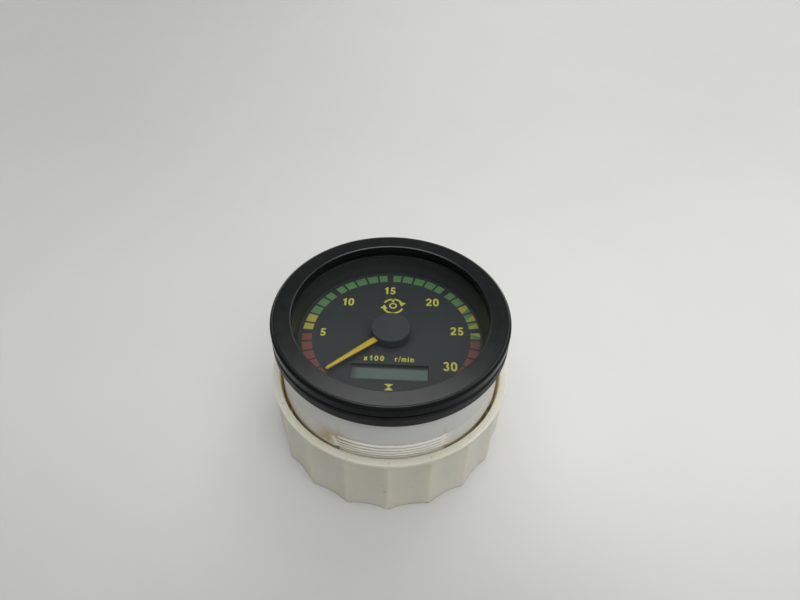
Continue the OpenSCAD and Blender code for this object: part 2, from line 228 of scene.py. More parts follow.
def lens_material(name, f0=0.04, rough=(0.015, 0.03), tint=(1, 1, 1)):
    """Clear flat plastic: straight through, with a mirror reflection that grows at shallow angles."""
    f = Finish(name)
    lw = f.n("ShaderNodeLayerWeight")
    lw.inputs["Blend"].default_value = 0.5
    p = f.math("POWER", lw.outputs["Facing"], 5.0)
    fac = f.math("ADD", f.math("MULTIPLY", p, 1 - f0), f0, clamp=True)
    tr = f.n("ShaderNodeBsdfTransparent")
    tr.inputs["Color"].default_value = (*tint, 1)
    gl = f.n("ShaderNodeBsdfGlossy")
    gl.inputs["Color"].default_value = (1, 1, 1, 1)
    f.put(gl.inputs["Roughness"], f.span(f.noise(0.4, 6, 0.7), 0.35, 0.75, *rough))
    f.put(gl.inputs["Normal"], f.bump(f.noise(0.05, 2), 0.01, 0.3))
    mx = f.n("ShaderNodeMixShader")
    f.l(fac, mx.inputs[0])
    f.l(tr.outputs[0], mx.inputs[1])
    f.l(gl.outputs[0], mx.inputs[2])
    f.l(mx.outputs[0], f.out.inputs["Surface"])
    return f.m


def bezel_material():
    f = Finish("bezel_black_plastic")
    _, _, z = f.xyz()
    r = f.radius()
    col = f.vary((0.0072, 0.0082, 0.0088), 0.14, 0.12)
    # the outer edge and the lip are painted greyer in patches: a painted highlight on their roundings
    edge = f.math("MULTIPLY", f.span(r, 41.6, 42.35), f.span(z, 58.4, 59.3))
    lip = f.math("MULTIPLY", f.span(r, 35.75, 35.3), f.span(z, 58.7, 59.3))
    painted_edge_sheen = f.math("MULTIPLY", f.math("MAXIMUM", edge, lip), f.span(f.noise(0.5, 6, 0.7, seed=2), 0.35, 0.75, 0.25, 1.0))
    col = f.mix(f.math("MULTIPLY", painted_edge_sheen, 0.22), col, (0.09, 0.095, 0.095))
    dust = f.math("MULTIPLY", f.specks(1.1, 0.13, seed=5, keep=0.3), f.span(f.noise(0.1, 3, seed=8), 0.42, 0.7))
    col = f.mix(f.math("MULTIPLY", dust, 0.3), col, (0.2, 0.2, 0.19))
    scratch = f.noise(1.0, 3, 0.6, stretch=(0.25, 6.0, 1.0), seed=11)
    scratch = f.span(scratch, 0.66, 0.7)
    ro = f.span(f.noise(0.22, 6, 0.65, seed=1), 0.3, 0.7, 0.17, 0.24)
    ro = f.math("ADD", ro, f.math("MULTIPLY", scratch, 0.06))
    nrm = f.bump(f.noise(7, 3, 0.6), 0.0035)
    nrm = f.bump(f.noise(0.1, 2), 0.02, 0.5, nrm)
    # the outer wall is duller than the polished face
    f.surface(Base_Color=col, Roughness=ro, Normal=nrm, Specular_IOR_Level=f.span(z, 58.85, 59.1, 0.08, 0.85))
    return f.m


def housing_material():
    f = Finish("body_natural_white")
    x, y, z = f.xyz()
    r = f.radius()
    col = f.vary((0.63, 0.64, 0.62), 0.025, 0.05, seed=1)
    # below the ledge the wall is painted paler, fully in the threaded runs in front and behind and on the inside,
    # partly at the sides: painted light on the thread's upward faces
    wedge_x = f.math("DIVIDE", f.math("ABSOLUTE", x), f.math("MAXIMUM", f.math("ABSOLUTE", y), 1.0))
    painted_light_share = f.math("MAXIMUM", f.span(wedge_x, 0.70, 0.50, 0.35, 1.0), f.span(r, 39.0, 38.6))
    col = f.mix(f.math("MULTIPLY", f.span(z, 36.1, 35.6), painted_light_share), col, (0.87, 0.865, 0.81))
    # towards the bottom, inside the nut, the body is tinted warmer
    col = f.mix(f.span(z, 34.0, 26.0, 0.0, 0.25), col, (0.76, 0.73, 0.63))
    # grease stain where the left thread starts, drawn out along the ledge
    a = f.near((-18.6, -35.3, 32.5), 10.5)
    a = f.math("MULTIPLY", a, f.span(z, 41.0, 35.0, 0.0, 1.0))
    a = f.math("MULTIPLY", a, f.span(f.noise(0.35, 5, 0.65, seed=2), 0.28, 0.62, 0.65, 1.0))
    col = f.mix(f.math("MULTIPLY", a, 1.3, clamp=True), col, (0.52, 0.42, 0.23))
    b = f.math("MULTIPLY", f.span(z, 40.5, 35.2, 0.0, 1.0), f.span(f.noise(0.16, 5, 0.6, seed=14), 0.42, 0.66))
    col = f.mix(f.math("MULTIPLY", b, 0.16), col, (0.60, 0.50, 0.32))
    # darker in the roots of the thread, which is only in front and behind: painted shade with some grime
    root = f.math("MULTIPLY", f.math("MULTIPLY", f.span(r, 40.03, 39.72), f.span(r, 38.8, 39.0)), f.math("MULTIPLY", f.math("LESS_THAN", z, 36.06), f.span(z, 29.4, 31.0)))
    run_x = f.math("DIVIDE", f.math("ABSOLUTE", f.math("ADD", x, f.math("MULTIPLY", y, 0.026))), f.math("MAXIMUM", f.math("ABSOLUTE", y), 1.0))
    root = f.math("MULTIPLY", root, f.span(run_x, 0.50, 0.46))
    root = f.math("MULTIPLY", root, f.span(f.noise(0.8, 5, 0.6, seed=9), 0.3, 0.7, 0.5, 1.0))
    col = f.mix(f.math("MULTIPLY", root, 0.6), col, (0.26, 0.22, 0.15))
    # crests and ledges painted paler: painted light on their upward faces
    painted_light_tops = f.math("MULTIPLY", f.span(r, 39.95, 40.1), f.math("MULTIPLY", f.span(z, 35.9, 35.6), f.span(wedge_x, 0.62, 0.50)))
    col = f.mix(f.math("MULTIPLY", painted_light_tops, 0.8), col, (0.95, 0.94, 0.88))
    # just inside the nut's rim the body is painted paler: painted light in the gap, standing in for light that comes
    # through the nut
    painted_gap_light = f.math("MULTIPLY", f.span(z, 30.8, 29.6), f.span(z, 21.0, 24.0))
    col = f.mix(f.math("MULTIPLY", painted_gap_light, 0.9), col, (0.97, 0.94, 0.83))
    spots = f.math("MULTIPLY", f.specks(0.5, 0.12, seed=3, keep=0.4), 0.35)
    col = f.mix(spots, col, (0.45, 0.40, 0.30))
    ro = f.span(f.noise(0.3, 6, 0.6, seed=6), 0.3, 0.7, 0.34, 0.5)
    nrm = f.bump(f.noise(5, 3, 0.6), 0.004)
    nrm = f.bump(f.noise(0.12, 2, 0.5, seed=2), 0.03, 0.6, nrm)
    f.surface(Base_Color=col, Roughness=ro, Normal=nrm, Specular_IOR_Level=0.5, Subsurface_Weight=0.12,
              Subsurface_Radius=(1.0, 0.95, 0.85), Subsurface_Scale=0.002)
    return f.m


def nut_material():
    f = Finish("nut_ivory_plastic")
    x, y, z = f.xyz()
    r = f.radius()
    col = f.vary((0.645, 0.63, 0.53), 0.03, 0.05, seed=5)
    fine = f.span(f.noise(1.4, 6, 0.65, seed=12), 0.3, 0.7, 0.0, 0.10)
    col = f.mix(fine, col, (0.62, 0.58, 0.46))
    # the rim's top is painted paler than the wall, less so in front: painted light on its upward face
    rim = f.span(z, 30.1, 30.5)
    col = f.mix(f.math("MULTIPLY", rim, f.span(y, -40.0, -15.0, 0.25, 0.7)), col, (0.90, 0.86, 0.74))
    # the inside above mid height is painted paler: painted light in the gap, for light that comes through the thin nut
    inside = f.span(r, 42.4, 42.1)
    col = f.mix(f.math("MULTIPLY", f.math("MULTIPLY", inside, f.span(z, 20.0, 24.0)), 0.85), col, (0.95, 0.91, 0.79))
    # lower in the gap the inside turns amber, strongest away from the front and towards the left: partly old grease,
    # partly painted shade
    deep = f.math("MULTIPLY", f.math("MULTIPLY", inside, f.span(z, 30.5, 27.5)), f.span(y, -36.0, -24.0, 0.25, 1.0))
    deep = f.math("MULTIPLY", deep, f.span(x, -25.0, 35.0, 1.0, 0.55))
    amber = f.ramp(f.noise(0.25, 5, 0.6, seed=3), [(0.3, (0.70, 0.55, 0.29)), (0.7, (0.84, 0.73, 0.50))])
    col = f.mix(f.math("MULTIPLY", deep, f.span(f.noise(0.13, 4, 0.6, seed=17), 0.25, 0.7, 0.7, 1.0)), col, amber)
    # soft paler streaks down the right of the grip: painted light on the side that faces the light
    pale = f.math("MULTIPLY", f.span(f.noise(0.35, 4, 0.6, stretch=(1, 1, 0.12), seed=41), 0.52, 0.72), f.span(x, 12.0, 26.0))
    col = f.mix(f.math("MULTIPLY", pale, 0.3), col, (0.88, 0.87, 0.80))
    # dirt in small specks and soft smears on the grip and the rim
    s1 = f.math("MULTIPLY", f.specks(0.42, 0.16, seed=1, keep=0.30), f.span(f.noise(0.12, 3, seed=21), 0.42, 0.62))
    s2 = f.math("MULTIPLY", f.specks(1.2, 0.2, seed=7, keep=0.22), f.span(f.noise(0.18, 4, seed=23), 0.5, 0.68))
    smear = f.span(f.noise(0.22, 6, 0.7, stretch=(1, 1, 0.5), seed=31), 0.58, 0.8, 0.0, 0.22)
    dirt = f.math("MAXIMUM", f.math("MULTIPLY", f.math("MAXIMUM", s1, s2), 0.55), smear)
    col = f.mix(dirt, col, (0.30, 0.26, 0.18))
    spot = f.math("MAXIMUM", f.near((-1.4, -43.9, 12.0), 0.75), f.math("MULTIPLY", f.near((-2.1, -43.9, 16.1), 0.7), 0.5))
    spot = f.math("MAXIMUM", spot, f.math("MULTIPLY", f.near((14.6, -41.4, 0.8), 0.9), 0.8))
    for c in ((-0.1, -43.6, 30.6), (14.4, -41.1, 30.6), (27.9, -33.0, 30.6), (-38.7, -19.5, 30.6), (-14.3, -42.2, 30.6)):
        spot = f.math("MAXIMUM", spot, f.math("MULTIPLY", f.near(c, 0.55), 0.5))
    col = f.mix(f.math("MULTIPLY", spot, 0.8), col, (0.16, 0.14, 0.08))
    ro = f.span(f.noise(0.25, 6, 0.65, seed=6), 0.3, 0.7, 0.33, 0.47)
    nrm = f.bump(f.noise(4.5, 3, 0.6), 0.005)
    nrm = f.bump(f.noise(0.16, 3, 0.5, seed=2), 0.05, 0.6, nrm)
    f.surface(Base_Color=col, Roughness=ro, Normal=nrm, Specular_IOR_Level=0.5, Subsurface_Weight=0.9,
              Subsurface_Radius=(1.0, 0.88, 0.65), Subsurface_Scale=0.006)
    return f.m


def dial_material():
    f = Finish("dial_charcoal_print")
    col = f.vary((0.0265, 0.0305, 0.0325), 0.05, 0.06)
    grain = f.span(f.noise(12, 3, 0.6), 0.35, 0.7, 0.0, 0.25)
    col = f.mix(grain, col, (0.024, 0.028, 0.030))
    _, y, _ = f.xyz()
    # painted light: the dial is painted lighter from the back towards the front, less so at the very front edge
    col = f.mix(f.math("MULTIPLY", f.span(y, 28.0, -6.0), f.span(y, -24.0, -14.0, 0.35, 1.0)), col, (0.0385, 0.044, 0.046))
    dust = f.math("MULTIPLY", f.specks(0.8, 0.07, seed=4, keep=0.25), 0.35)
    col = f.mix(dust, col, (0.14, 0.15, 0.15))
    f.surface(Base_Color=col, Roughness=f.span(f.noise(2, 5), 0.3, 0.7, 0.5, 0.62), Normal=f.bump(f.noise(11, 3), 0.006),
              Specular_IOR_Level=0.2)
    return f.m


def surround_material():
    f = Finish("surround_black_gloss")
    col = f.vary((0.021, 0.025, 0.025), 0.12, 0.15)
    ro = f.span(f.noise(0.6, 6, 0.65), 0.3, 0.7, 0.28, 0.40)
    f.surface(Base_Color=col, Roughness=ro, Normal=f.bump(f.noise(6, 3), 0.002), Specular_IOR_Level=0.32)
    return f.m


def counter_material():
    """Liquid-crystal cell: lit field inside a dark mask, seen through its polished cover."""
    f = Finish("counter_crystal_cell")
    x, y, z = f.xyz()
    t = math.radians(WIN[4])
    dx, dy = f.math("SUBTRACT", x, WIN[0]), f.math("SUBTRACT", y, WIN[1])
    u = f.math("ADD", f.math("MULTIPLY", dx, math.cos(t)), f.math("MULTIPLY", dy, math.sin(t)))
    v = f.math("SUBTRACT", f.math("MULTIPLY", dy, math.cos(t)), f.math("MULTIPLY", dx, math.sin(t)))
    col = f.vary((0.104, 0.152, 0.134), 0.05, 0.08)
    fine = f.span(f.noise(16, 2), 0.35, 0.7, 0.0, 0.12)
    col = f.mix(fine, col, (0.085, 0.122, 0.106))
    # the field fades to its dark border, softly at the left; the soft fade at the top is a painted shadow of the
    # window's upper edge
    lit = f.math("MULTIPLY", f.span(v, 2.6, 1.7), f.math("MULTIPLY", f.span(u, -13.7, -10.2, 0.25, 1.0), f.span(u, 13.5, 13.25)))
    lit = f.math("MULTIPLY", lit, f.span(v, -2.75, -2.35, 0.35, 1.0))
    col = f.mix(lit, (0.035, 0.042, 0.042), col)
    f.surface(Base_Color=col, Roughness=f.span(f.noise(0.5, 4), 0.3, 0.7, 0.08, 0.16), Normal=f.bump(f.noise(5, 2), 0.001),
              Coat_Weight=0.3, Coat_Roughness=0.05)
    return f.m


def needle_material():
    f = Finish("pointer_signal_yellow")
    col = f.vary((0.55, 0.405, 0.03), 0.06, 0.3)
    edge = f.span(f.noise(3, 4, 0.6, seed=3), 0.62, 0.8, 0.0, 0.35)
    col = f.mix(edge, col, (0.44, 0.29, 0.02))
    f.surface(Base_Color=col, Roughness=f.span(f.noise(1.2, 5), 0.3, 0.7, 0.28, 0.42), Normal=f.bump(f.noise(9, 3), 0.003),
              Subsurface_Weight=0.15, Subsurface_Radius=(1.0, 0.6, 0.1), Subsurface_Scale=0.0004)
    return f.m


def board_material():
    f = Finish("circuit_board_green")
    col = f.vary((0.02, 0.13, 0.055), 0.15, 0.2)
    tracks = f.n("ShaderNodeTexBrick")
    f.l(f.P, tracks.inputs["Vector"])
    tracks.inputs["Scale"].default_value = 0.35
    tracks.inputs["Mortar Size"].default_value = 0.06
    tracks.inputs["Color1"].default_value = (0.02, 0.13, 0.055, 1)
    tracks.inputs["Color2"].default_value = (0.03, 0.16, 0.07, 1)
    tracks.inputs["Mortar"].default_value = (0.05, 0.22, 0.09, 1)
    col = f.mix(0.5, col, tracks.outputs["Color"])
    f.surface(Base_Color=col, Roughness=f.span(f.noise(2, 5), 0.3, 0.7, 0.25, 0.45),
              Normal=f.bump(tracks.outputs["Fac"], 0.03, 0.5))
    return f.m


MAT = {
    "bezel_black": bezel_material(),
    "black_rubber": moulded("seal_black_rubber", (0.0125, 0.012, 0.0135), (0.42, 0.56), grain=5, grain_mm=0.008, amount=0.2,
                            dust=0.12, spec=0.22, wave_mm=0.03, seed=2),
    "gasket": moulded("gasket_soft_black", (0.015, 0.015, 0.016), (0.6, 0.8), grain=4, grain_mm=0.012, spec=0.3, seed=4),
    "clear_lens": lens_material("lens_clear_plastic"),
    "body_white": housing_material(),
    "nut_ivory": nut_material(),
    "surround_black": surround_material(),
    "dial_face": dial_material(),
    "clear_acrylic": lens_material("light_guide_clear", rough=(0.05, 0.12), tint=(0.93, 0.97, 0.97)),
    "pointer_yellow": needle_material(),
    "hub_grey": moulded("hub_dark_grey", (0.042, 0.0485, 0.050), (0.45, 0.55), grain=9, grain_mm=0.004, amount=0.05, dust=0.05,
                        dust_colour=(0.2, 0.2, 0.2), spec=0.25, seed=6, patch=0.2),
    "bright_steel": metal("shaft_ground_steel", (0.62, 0.62, 0.63), (0.15, 0.28), stretch=(1, 1, 12)),
    "magnet_dark": moulded("magnet_sintered", (0.045, 0.045, 0.05), (0.4, 0.6), grain=6, grain_mm=0.01, seed=8),
    "former_plastic": moulded("former_blue_grey", (0.05, 0.09, 0.16), (0.35, 0.5), grain=5, seed=10),
    "copper_wire": metal("winding_enamelled_copper", (0.72, 0.32, 0.14), (0.22, 0.34), stretch=(1, 14, 14), grain=5, grain_mm=0.03),
    "plated_steel": metal("can_plated_steel", (0.56, 0.57, 0.58), (0.25, 0.42), tarnish=(0.4, 0.39, 0.36)),
    "bush_brass": metal("bush_brass", (0.72, 0.52, 0.22), (0.2, 0.34), tarnish=(0.45, 0.3, 0.13)),
    "board_green": board_material(),
    "chip_black": moulded("component_black", (0.02, 0.02, 0.022), (0.4, 0.6), grain=6, grain_mm=0.006, seed=12),
    "counter_glass": counter_material(),
    "white_plastic": moulded("frame_white_plastic", (0.78, 0.78, 0.76), (0.4, 0.55), grain=5, seed=14, amount=0.04),
    "contact_rubber": moulded("contact_rubber", (0.05, 0.05, 0.055), (0.55, 0.7), grain=3, grain_mm=0.02, seed=16),
    "pin_metal": metal("pin_tinned_brass", (0.66, 0.62, 0.50), (0.2, 0.35), tarnish=(0.42, 0.38, 0.28), stretch=(1, 1, 8)),
    "connector_black": moulded("connector_black", (0.016, 0.016, 0.017), (0.36, 0.5), grain=6, grain_mm=0.006, amount=0.15, dust=0.2, seed=18),
    "selector_blue": moulded("selector_blue", (0.03, 0.13, 0.34), (0.35, 0.5), grain=5, seed=20),
    "selector_white": moulded("selector_rotor_white", (0.74, 0.73, 0.68), (0.35, 0.5), grain=5, seed=22, amount=0.05),
    "holder_black": moulded("holder_black_nylon", (0.02, 0.02, 0.021), (0.38, 0.52), grain=5, grain_mm=0.008, amount=0.15, dust=0.2, seed=24),
    "lamp_glass": lens_material("lamp_glass", rough=(0.01, 0.02)),
    "print_yellow": printed("print_yellow", (0.56, 0.55, 0.075)),
    "print_band_yellow": printed("print_band_yellow", (0.36, 0.355, 0.062)),
    "print_green": printed("print_green", (0.086, 0.218, 0.080)),
    "print_red": printed("print_red", (0.175, 0.058, 0.046)),
}


# ---------------------------------------------------------------- mesh helpers

def to_object(name, me):
    ob = bpy.data.objects.new(name, me)
    scene.collection.objects.link(ob)
    return ob


def build(name, verts, faces, mat, body, nodes=(), slot=None, angle=32.0, merge=1e-6):
    me = bpy.data.meshes.new(name)
    me.from_pydata([(v[0] * MM, v[1] * MM, v[2] * MM) for v in verts], [], faces)
    return finish_mesh(name, me, mat, body, nodes, angle, merge)


def finish_mesh(name, me, mat, body, nodes=(), angle=32.0, merge=1e-6):
    bm = bmesh.new()
    bm.from_mesh(me)
    if merge:
        bmesh.ops.remove_doubles(bm, verts=bm.verts, dist=merge)
    bmesh.ops.dissolve_degenerate(bm, dist=1e-8, edges=bm.edges)
    bmesh.ops.recalc_face_normals(bm, faces=bm.faces)
    bm.to_mesh(me)
    bm.free()
    me.shade_smooth()
    me.set_sharp_from_angle(angle=math.radians(angle))
    ob = to_object(name, me)
    me.materials.clear()
    me.materials.append(mat)
    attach(ob, body)
    if nodes:
        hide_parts(*nodes)
    return ob


def rounded(points, default=0.15, n=4, over=None):
    """Closed profile with every corner rounded; over gives the radius of single corners by index."""
    over = over or {}
    out = []
    m = len(points)
    for i, p in enumerate(points):
        rad = over.get(i, default)
        p = Vector(p)
        a, b = Vector(points[i - 1]) - p, Vector(points[(i + 1) % m]) - p
        if rad <= 0 or a.length < 1e-6 or b.length < 1e-6:
            out.append(tuple(p))
            continue
        ang = a.angle(b)
        if ang > math.radians(172):
            out.append(tuple(p))
            continue
        t = min(rad / math.tan(ang / 2), 0.46 * a.length, 0.46 * b.length)
        rad = t * math.tan(ang / 2)
        u, v = a.normalized(), b.normalized()
        c = p + (u + v).normalized() * (rad / math.sin(ang / 2))
        s, e = p + u * t - c, p + v * t - c
        sweep = s.angle(e)
        for k in range(n + 1):
            w = k / n
            q = (s * math.sin((1 - w) * sweep) + e * math.sin(w * sweep)) / math.sin(sweep)
            out.append(tuple(c + q))
    return out


def held(points, closed=True, d=0.12, longer=0.6):
    """The profile with extra points near the ends of its long runs, so flat parts stay flat when shaded."""
    out, m = [], len(points)
    for i, p in enumerate(points):
        out.append(tuple(p))
        if not closed and i == m - 1:
            break
        a, b = Vector(p), Vector(points[(i + 1) % m])
        v = b - a
        if v.length > longer and max(a.x, b.x) > 1e-6:
            out += [tuple(a + v.normalized() * d), tuple(b - v.normalized() * d)]
    return out


def turn(profile, segs=240, a0=0.0, a1=360.0, centre=(0.0, 0.0)):
    """Vertices and faces of a closed profile of (radius, height) points turned about Z."""
    profile = held(profile)
    full = abs(a1 - a0) > 359.9
    cols = segs if full else segs + 1
    m = len(profile)
    verts, faces = [], []
    for i in range(cols):
        a = math.radians(a0 + (a1 - a0) * i / segs)
        ca, sa = math.cos(a), math.sin(a)
        verts += [(centre[0] + r * ca, centre[1] + r * sa, z) for r, z in profile]
    for i in range(segs):
        j = (i + 1) % cols
        for k in range(m):
            l = (k + 1) % m
            faces.append((i * m + k, j * m + k, j * m + l, i * m + l))
    if not full:
        faces.append(tuple(range(m)))
        faces.append(tuple(reversed(range((cols - 1) * m, cols * m))))
    return verts, faces


def columns(rows, closed=True):
    """Faces over columns of equal length, joined all round."""
    m = len(rows[0])
    n = len(rows)
    verts = [p for row in rows for p in row]
    faces = []
    for i in range(n):
        j = (i + 1) % n
        for k in range(m if closed else m - 1):
            l = (k + 1) % m
            faces.append((i * m + k, j * m + k, j * m + l, i * m + l))
    return verts, faces


def joined(*parts):
    verts, faces = [], []
    for v, f in parts:
        o = len(verts)
        verts += v
        faces += [tuple(i + o for i in face) for face in f]
    return verts, faces


def flat_mesh(name, outlines, z0, z1, bevel=0.0, segs=2):
    """Mesh of a plate between z0 and z1 from closed outlines; an outline inside another is a hole."""
    cu = bpy.data.curves.new(name, "CURVE")
    cu.dimensions = "2D"
    cu.fill_mode = "BOTH"
    for pts in outlines:
        sp = cu.splines.new("POLY")
        sp.points.add(len(pts) - 1)
        for i, (x, y) in enumerate(pts):
            sp.points[i].co = (x * MM, y * MM, 0, 1)
        sp.use_cyclic_u = True
    cu.extrude = ((z1 - z0) / 2 - bevel) * MM
    cu.bevel_depth = bevel * MM
    cu.bevel_resolution = segs
    cu.offset = -bevel * MM
    ob = to_object(name + "_curve", cu)
    bpy.context.view_layer.update()
    me = bpy.data.meshes.new_from_object(ob.evaluated_get(bpy.context.evaluated_depsgraph_get()))
    bpy.data.objects.remove(ob)
    bpy.data.curves.remove(cu)
    me.transform(Matrix.Translation((0, 0, (z0 + z1) / 2 * MM)))
    me.name = name
    return me


def circle(cx, cy, r, n=96):
    return [(cx + r * math.cos(2 * math.pi * i / n), cy + r * math.sin(2 * math.pi * i / n)) for i in range(n)]


def rect(cx, cy, w, h, rad=0.0, turn_deg=0.0, n=4):
    """Rectangle with rounded corners, turned about its centre."""
    rad = max(rad, 1e-4)
    pts = []
    for sx, sy, a0 in ((1, 1, 0), (-1, 1, 90), (-1, -1, 180), (1, -1, 270)):
        for k in range(n + 1):
            a = math.radians(a0 + 90 * k / n)
            pts.append((sx * (w / 2 - rad) + rad * math.cos(a), sy * (h / 2 - rad) + rad * math.sin(a)))
    t = math.radians(turn_deg)
    return [(cx + x * math.cos(t) - y * math.sin(t), cy + x * math.sin(t) + y * math.cos(t)) for x, y in pts]


def merged(name, meshes):
    """One mesh out of several."""
    bm = bmesh.new()
    for me in meshes:
        bm.from_mesh(me)
        bpy.data.meshes.remove(me)
    out = bpy.data.meshes.new(name)
    bm.to_mesh(out)
    bm.free()
    return out


def box_mesh(x0, x1, y0, y1, z0, z1):
    v = [(x, y, z) for x in (x0, x1) for y in (y0, y1) for z in (z0, z1)]
    f = [(0, 1, 3, 2), (4, 6, 7, 5), (0, 4, 5, 1), (2, 3, 7, 6), (0, 2, 6, 4), (1, 5, 7, 3)]
    return v, f


def raw_mesh(name, vf):
    me = bpy.data.meshes.new(name)
    me.from_pydata([(a * MM, b * MM, c * MM) for a, b, c in vf[0]], [], vf[1])
    bm = bmesh.new()
    bm.from_mesh(me)
    bmesh.ops.remove_doubles(bm, verts=bm.verts, dist=1e-7)
    bmesh.ops.recalc_face_normals(bm, faces=bm.faces)
    bm.to_mesh(me)
    bm.free()
    return me


def boolean(me, others, operation="DIFFERENCE"):
    """me cut by, or joined with, each of the other meshes."""
    ob = to_object("work", me)
    tools = []
    for i, other in enumerate(others):
        to = to_object(f"tool{i}", other)
        tools.append(to)
        mod = ob.modifiers.new(f"b{i}", "BOOLEAN")
        mod.operation = operation
        mod.solver = "EXACT"
        mod.object = to
    bpy.context.view_layer.update()
    out = bpy.data.meshes.new_from_object(ob.evaluated_get(bpy.context.evaluated_depsgraph_get()))
    for o in [ob, *tools]:
        d = o.data
        bpy.data.objects.remove(o)
        bpy.data.meshes.remove(d)
    return out


def bevelled(name, me, width_mm, segs=3, limit=35.0):
    """me with its sharp edges rounded."""
    ob = to_object(name + "_work", me)
    mod = ob.modifiers.new("bevel", "BEVEL")
    mod.width = width_mm * MM
    mod.segments = segs
    mod.limit_method = "ANGLE"
    mod.angle_limit = math.radians(limit)
    mod.harden_normals = False
    bpy.context.view_layer.update()
    out = bpy.data.meshes.new_from_object(ob.evaluated_get(bpy.context.evaluated_depsgraph_get()))
    bpy.data.objects.remove(ob)
    bpy.data.meshes.remove(me)
    out.name = name
    return out


# ---------------------------------------------------------------- camera

cam_data = bpy.data.cameras.new("camera")
cam = bpy.data.objects.new("camera", cam_data)
scene.collection.objects.link(cam)
cam_data.sensor_fit = "HORIZONTAL"
cam_data.sensor_width = 36.0
cam_data.lens = 649.0 * 36.0 / 800.0
cam_data.clip_start, cam_data.clip_end = 0.005, 20.0
right = Vector((9.99781312e-01, 6.45515465e-04, 2.09024236e-02))
down = Vector((1.53811688e-02, -6.99894644e-01, -7.14080463e-01))
ahead = Vector((1.41685443e-02, 7.14245806e-01, -6.99751514e-01))
turned = Matrix((right, -down, -ahead)).transposed().to_4x4()
cam.matrix_world = Matrix.Translation((0.0, -160.80329857 * MM, 222.03261524 * MM)) @ turned
cam_data.shift_x = -0.5 / 800
cam_data.shift_y = 0.5 / 800
scene.camera = cam


# ---------------------------------------------------------------- front: bezel, lens, seal

bezel_profile = rounded(
    [(35.2, 56.45), (36.6, 56.45), (36.6, 57.9), (40.5, 57.9), (40.5, 53.3), (40.08, 53.3), (40.08, 52.9), (40.3, 52.6),
     (41.4, 52.6), (41.4, 54.95), (42.0, 54.95), (42.45, 55.4), (42.45, 58.1), (42.3, 58.45), (41.35, 59.21), (41.17, 59.12), (41.12, 59.0), (40.98, 59.0), (40.92, 59.17),
     (35.55, 59.4), (35.2, 59.15)],
    0.12, 4, {0: 0.1, 10: 0.08, 11: 0.15, 12: 0.3, 13: 0.3, 14: 0.25, 15: 0.16, 16: 0.05, 17: 0.03, 18: 0.03, 19: 0.05, 20: 0.12, 21: 0.12})
build("bezel_trim", *turn(bezel_profile, 288), MAT["bezel_black"], "instrument", ["bezel_ring"], "bezel_black", angle=40)

gasket_profile = rounded([(37.2, 56.4), (39.6, 56.4), (39.6, 57.9), (37.2, 57.9)], 0.4, 4)
build("lens_seat_ring", *turn(gasket_profile, 200), MAT["gasket"], "instrument", ["lens_gasket"], "black_rubber")

lens_profile = [(0, 54.4), *rounded([(0, 54.4), (40.2, 54.4), (40.2, 56.1), (39.9, 56.4), (0, 56.4)], 0.1, 2, {0: 0, 4: 0})[1:-1], (0, 56.4)]
build("clear_front", *turn(lens_profile, 200), MAT["clear_lens"], "instrument", ["front_lens"], "clear_lens", angle=12)

seal_profile = rounded(
    [(40.06, 50.3), (40.9, 49.95), (42.45, 49.95), (42.45, 53.35), (41.85, 53.9), (41.45, 53.95), (41.45, 52.55), (39.55, 52.55), (39.55, 50.6), (40.06, 50.6)],
    0.08, 2, {1: 0.1, 2: 0.3, 3: 0.2, 4: 0.12})
build("panel_seal_ring", *turn(seal_profile, 288), MAT["black_rubber"], "instrument", ["panel_seal"], "black_rubber", angle=40)

surround_profile = rounded(
    [(33.7, 47.12), (35.0, 47.12), (36.6, 53.1), (37.9, 53.1), (37.9, 54.4), (35.5, 54.4)], 0.12, 3, {0: 0.06, 5: 0.35})
build("dial_surround_ring", *turn(surround_profile, 256), MAT["surround_black"], "instrument", ["dial_surround"], "surround_black")


# ---------------------------------------------------------------- dial and its print

DIAL_Z = 47.1

dial = flat_mesh("dial_face_plate", [circle(0, 0, 37.0, 256), circle(0, 0, 2.2, 64), rect(WIN[0], WIN[1], WIN[2], WIN[3], 0.35, WIN[4])],
                 46.3, DIAL_Z, bevel=0.12, segs=2)
finish_mesh("dial_face_plate", dial, MAT["dial_face"], "instrument", ["dial_plate"], angle=12)

UNIT = 260.0 / 30.0                       # degrees of arc for one unit of the scale
ZERO = 219.7
R_IN, R_OUT = 28.9, 32.5
RING = (0.2, -0.2)                       # the print sits a little off the axis and isn't quite round
SQUEEZE = 0.985
PZ0, PZ1 = DIAL_Z - 0.02, DIAL_Z + 0.025


def at(value):
    return ZERO - value * UNIT


def ring_arc(r, s, e, n=8):
    return [(RING[0] + r * math.cos(math.radians(s + (e - s) * k / n)), RING[1] + SQUEEZE * r * math.sin(math.radians(s + (e - s) * k / n)))
            for k in range(n + 1)]


def wedge(a0, a1, r0=R_IN, r1=R_OUT, n=8):
    """Outline of one block of the scale between two angles."""
    return ring_arc(r0, a0, a1, n) + ring_arc(r1, a1, a0, n)


def halves(a0, a1, share0, share1, n=8):
    """A block split by a slanting line: at the inner edge share0 of its width belongs to the first half, at the outer edge share1."""
    m0, m1 = a0 + (a1 - a0) * share0, a0 + (a1 - a0) * share1
    first = ring_arc(R_IN, a0, m0, n) + ring_arc(R_OUT, m1, a0, n)
    second = ring_arc(R_IN, m0, a1, n) + ring_arc(R_OUT, a1, m1, n)
    return first, second


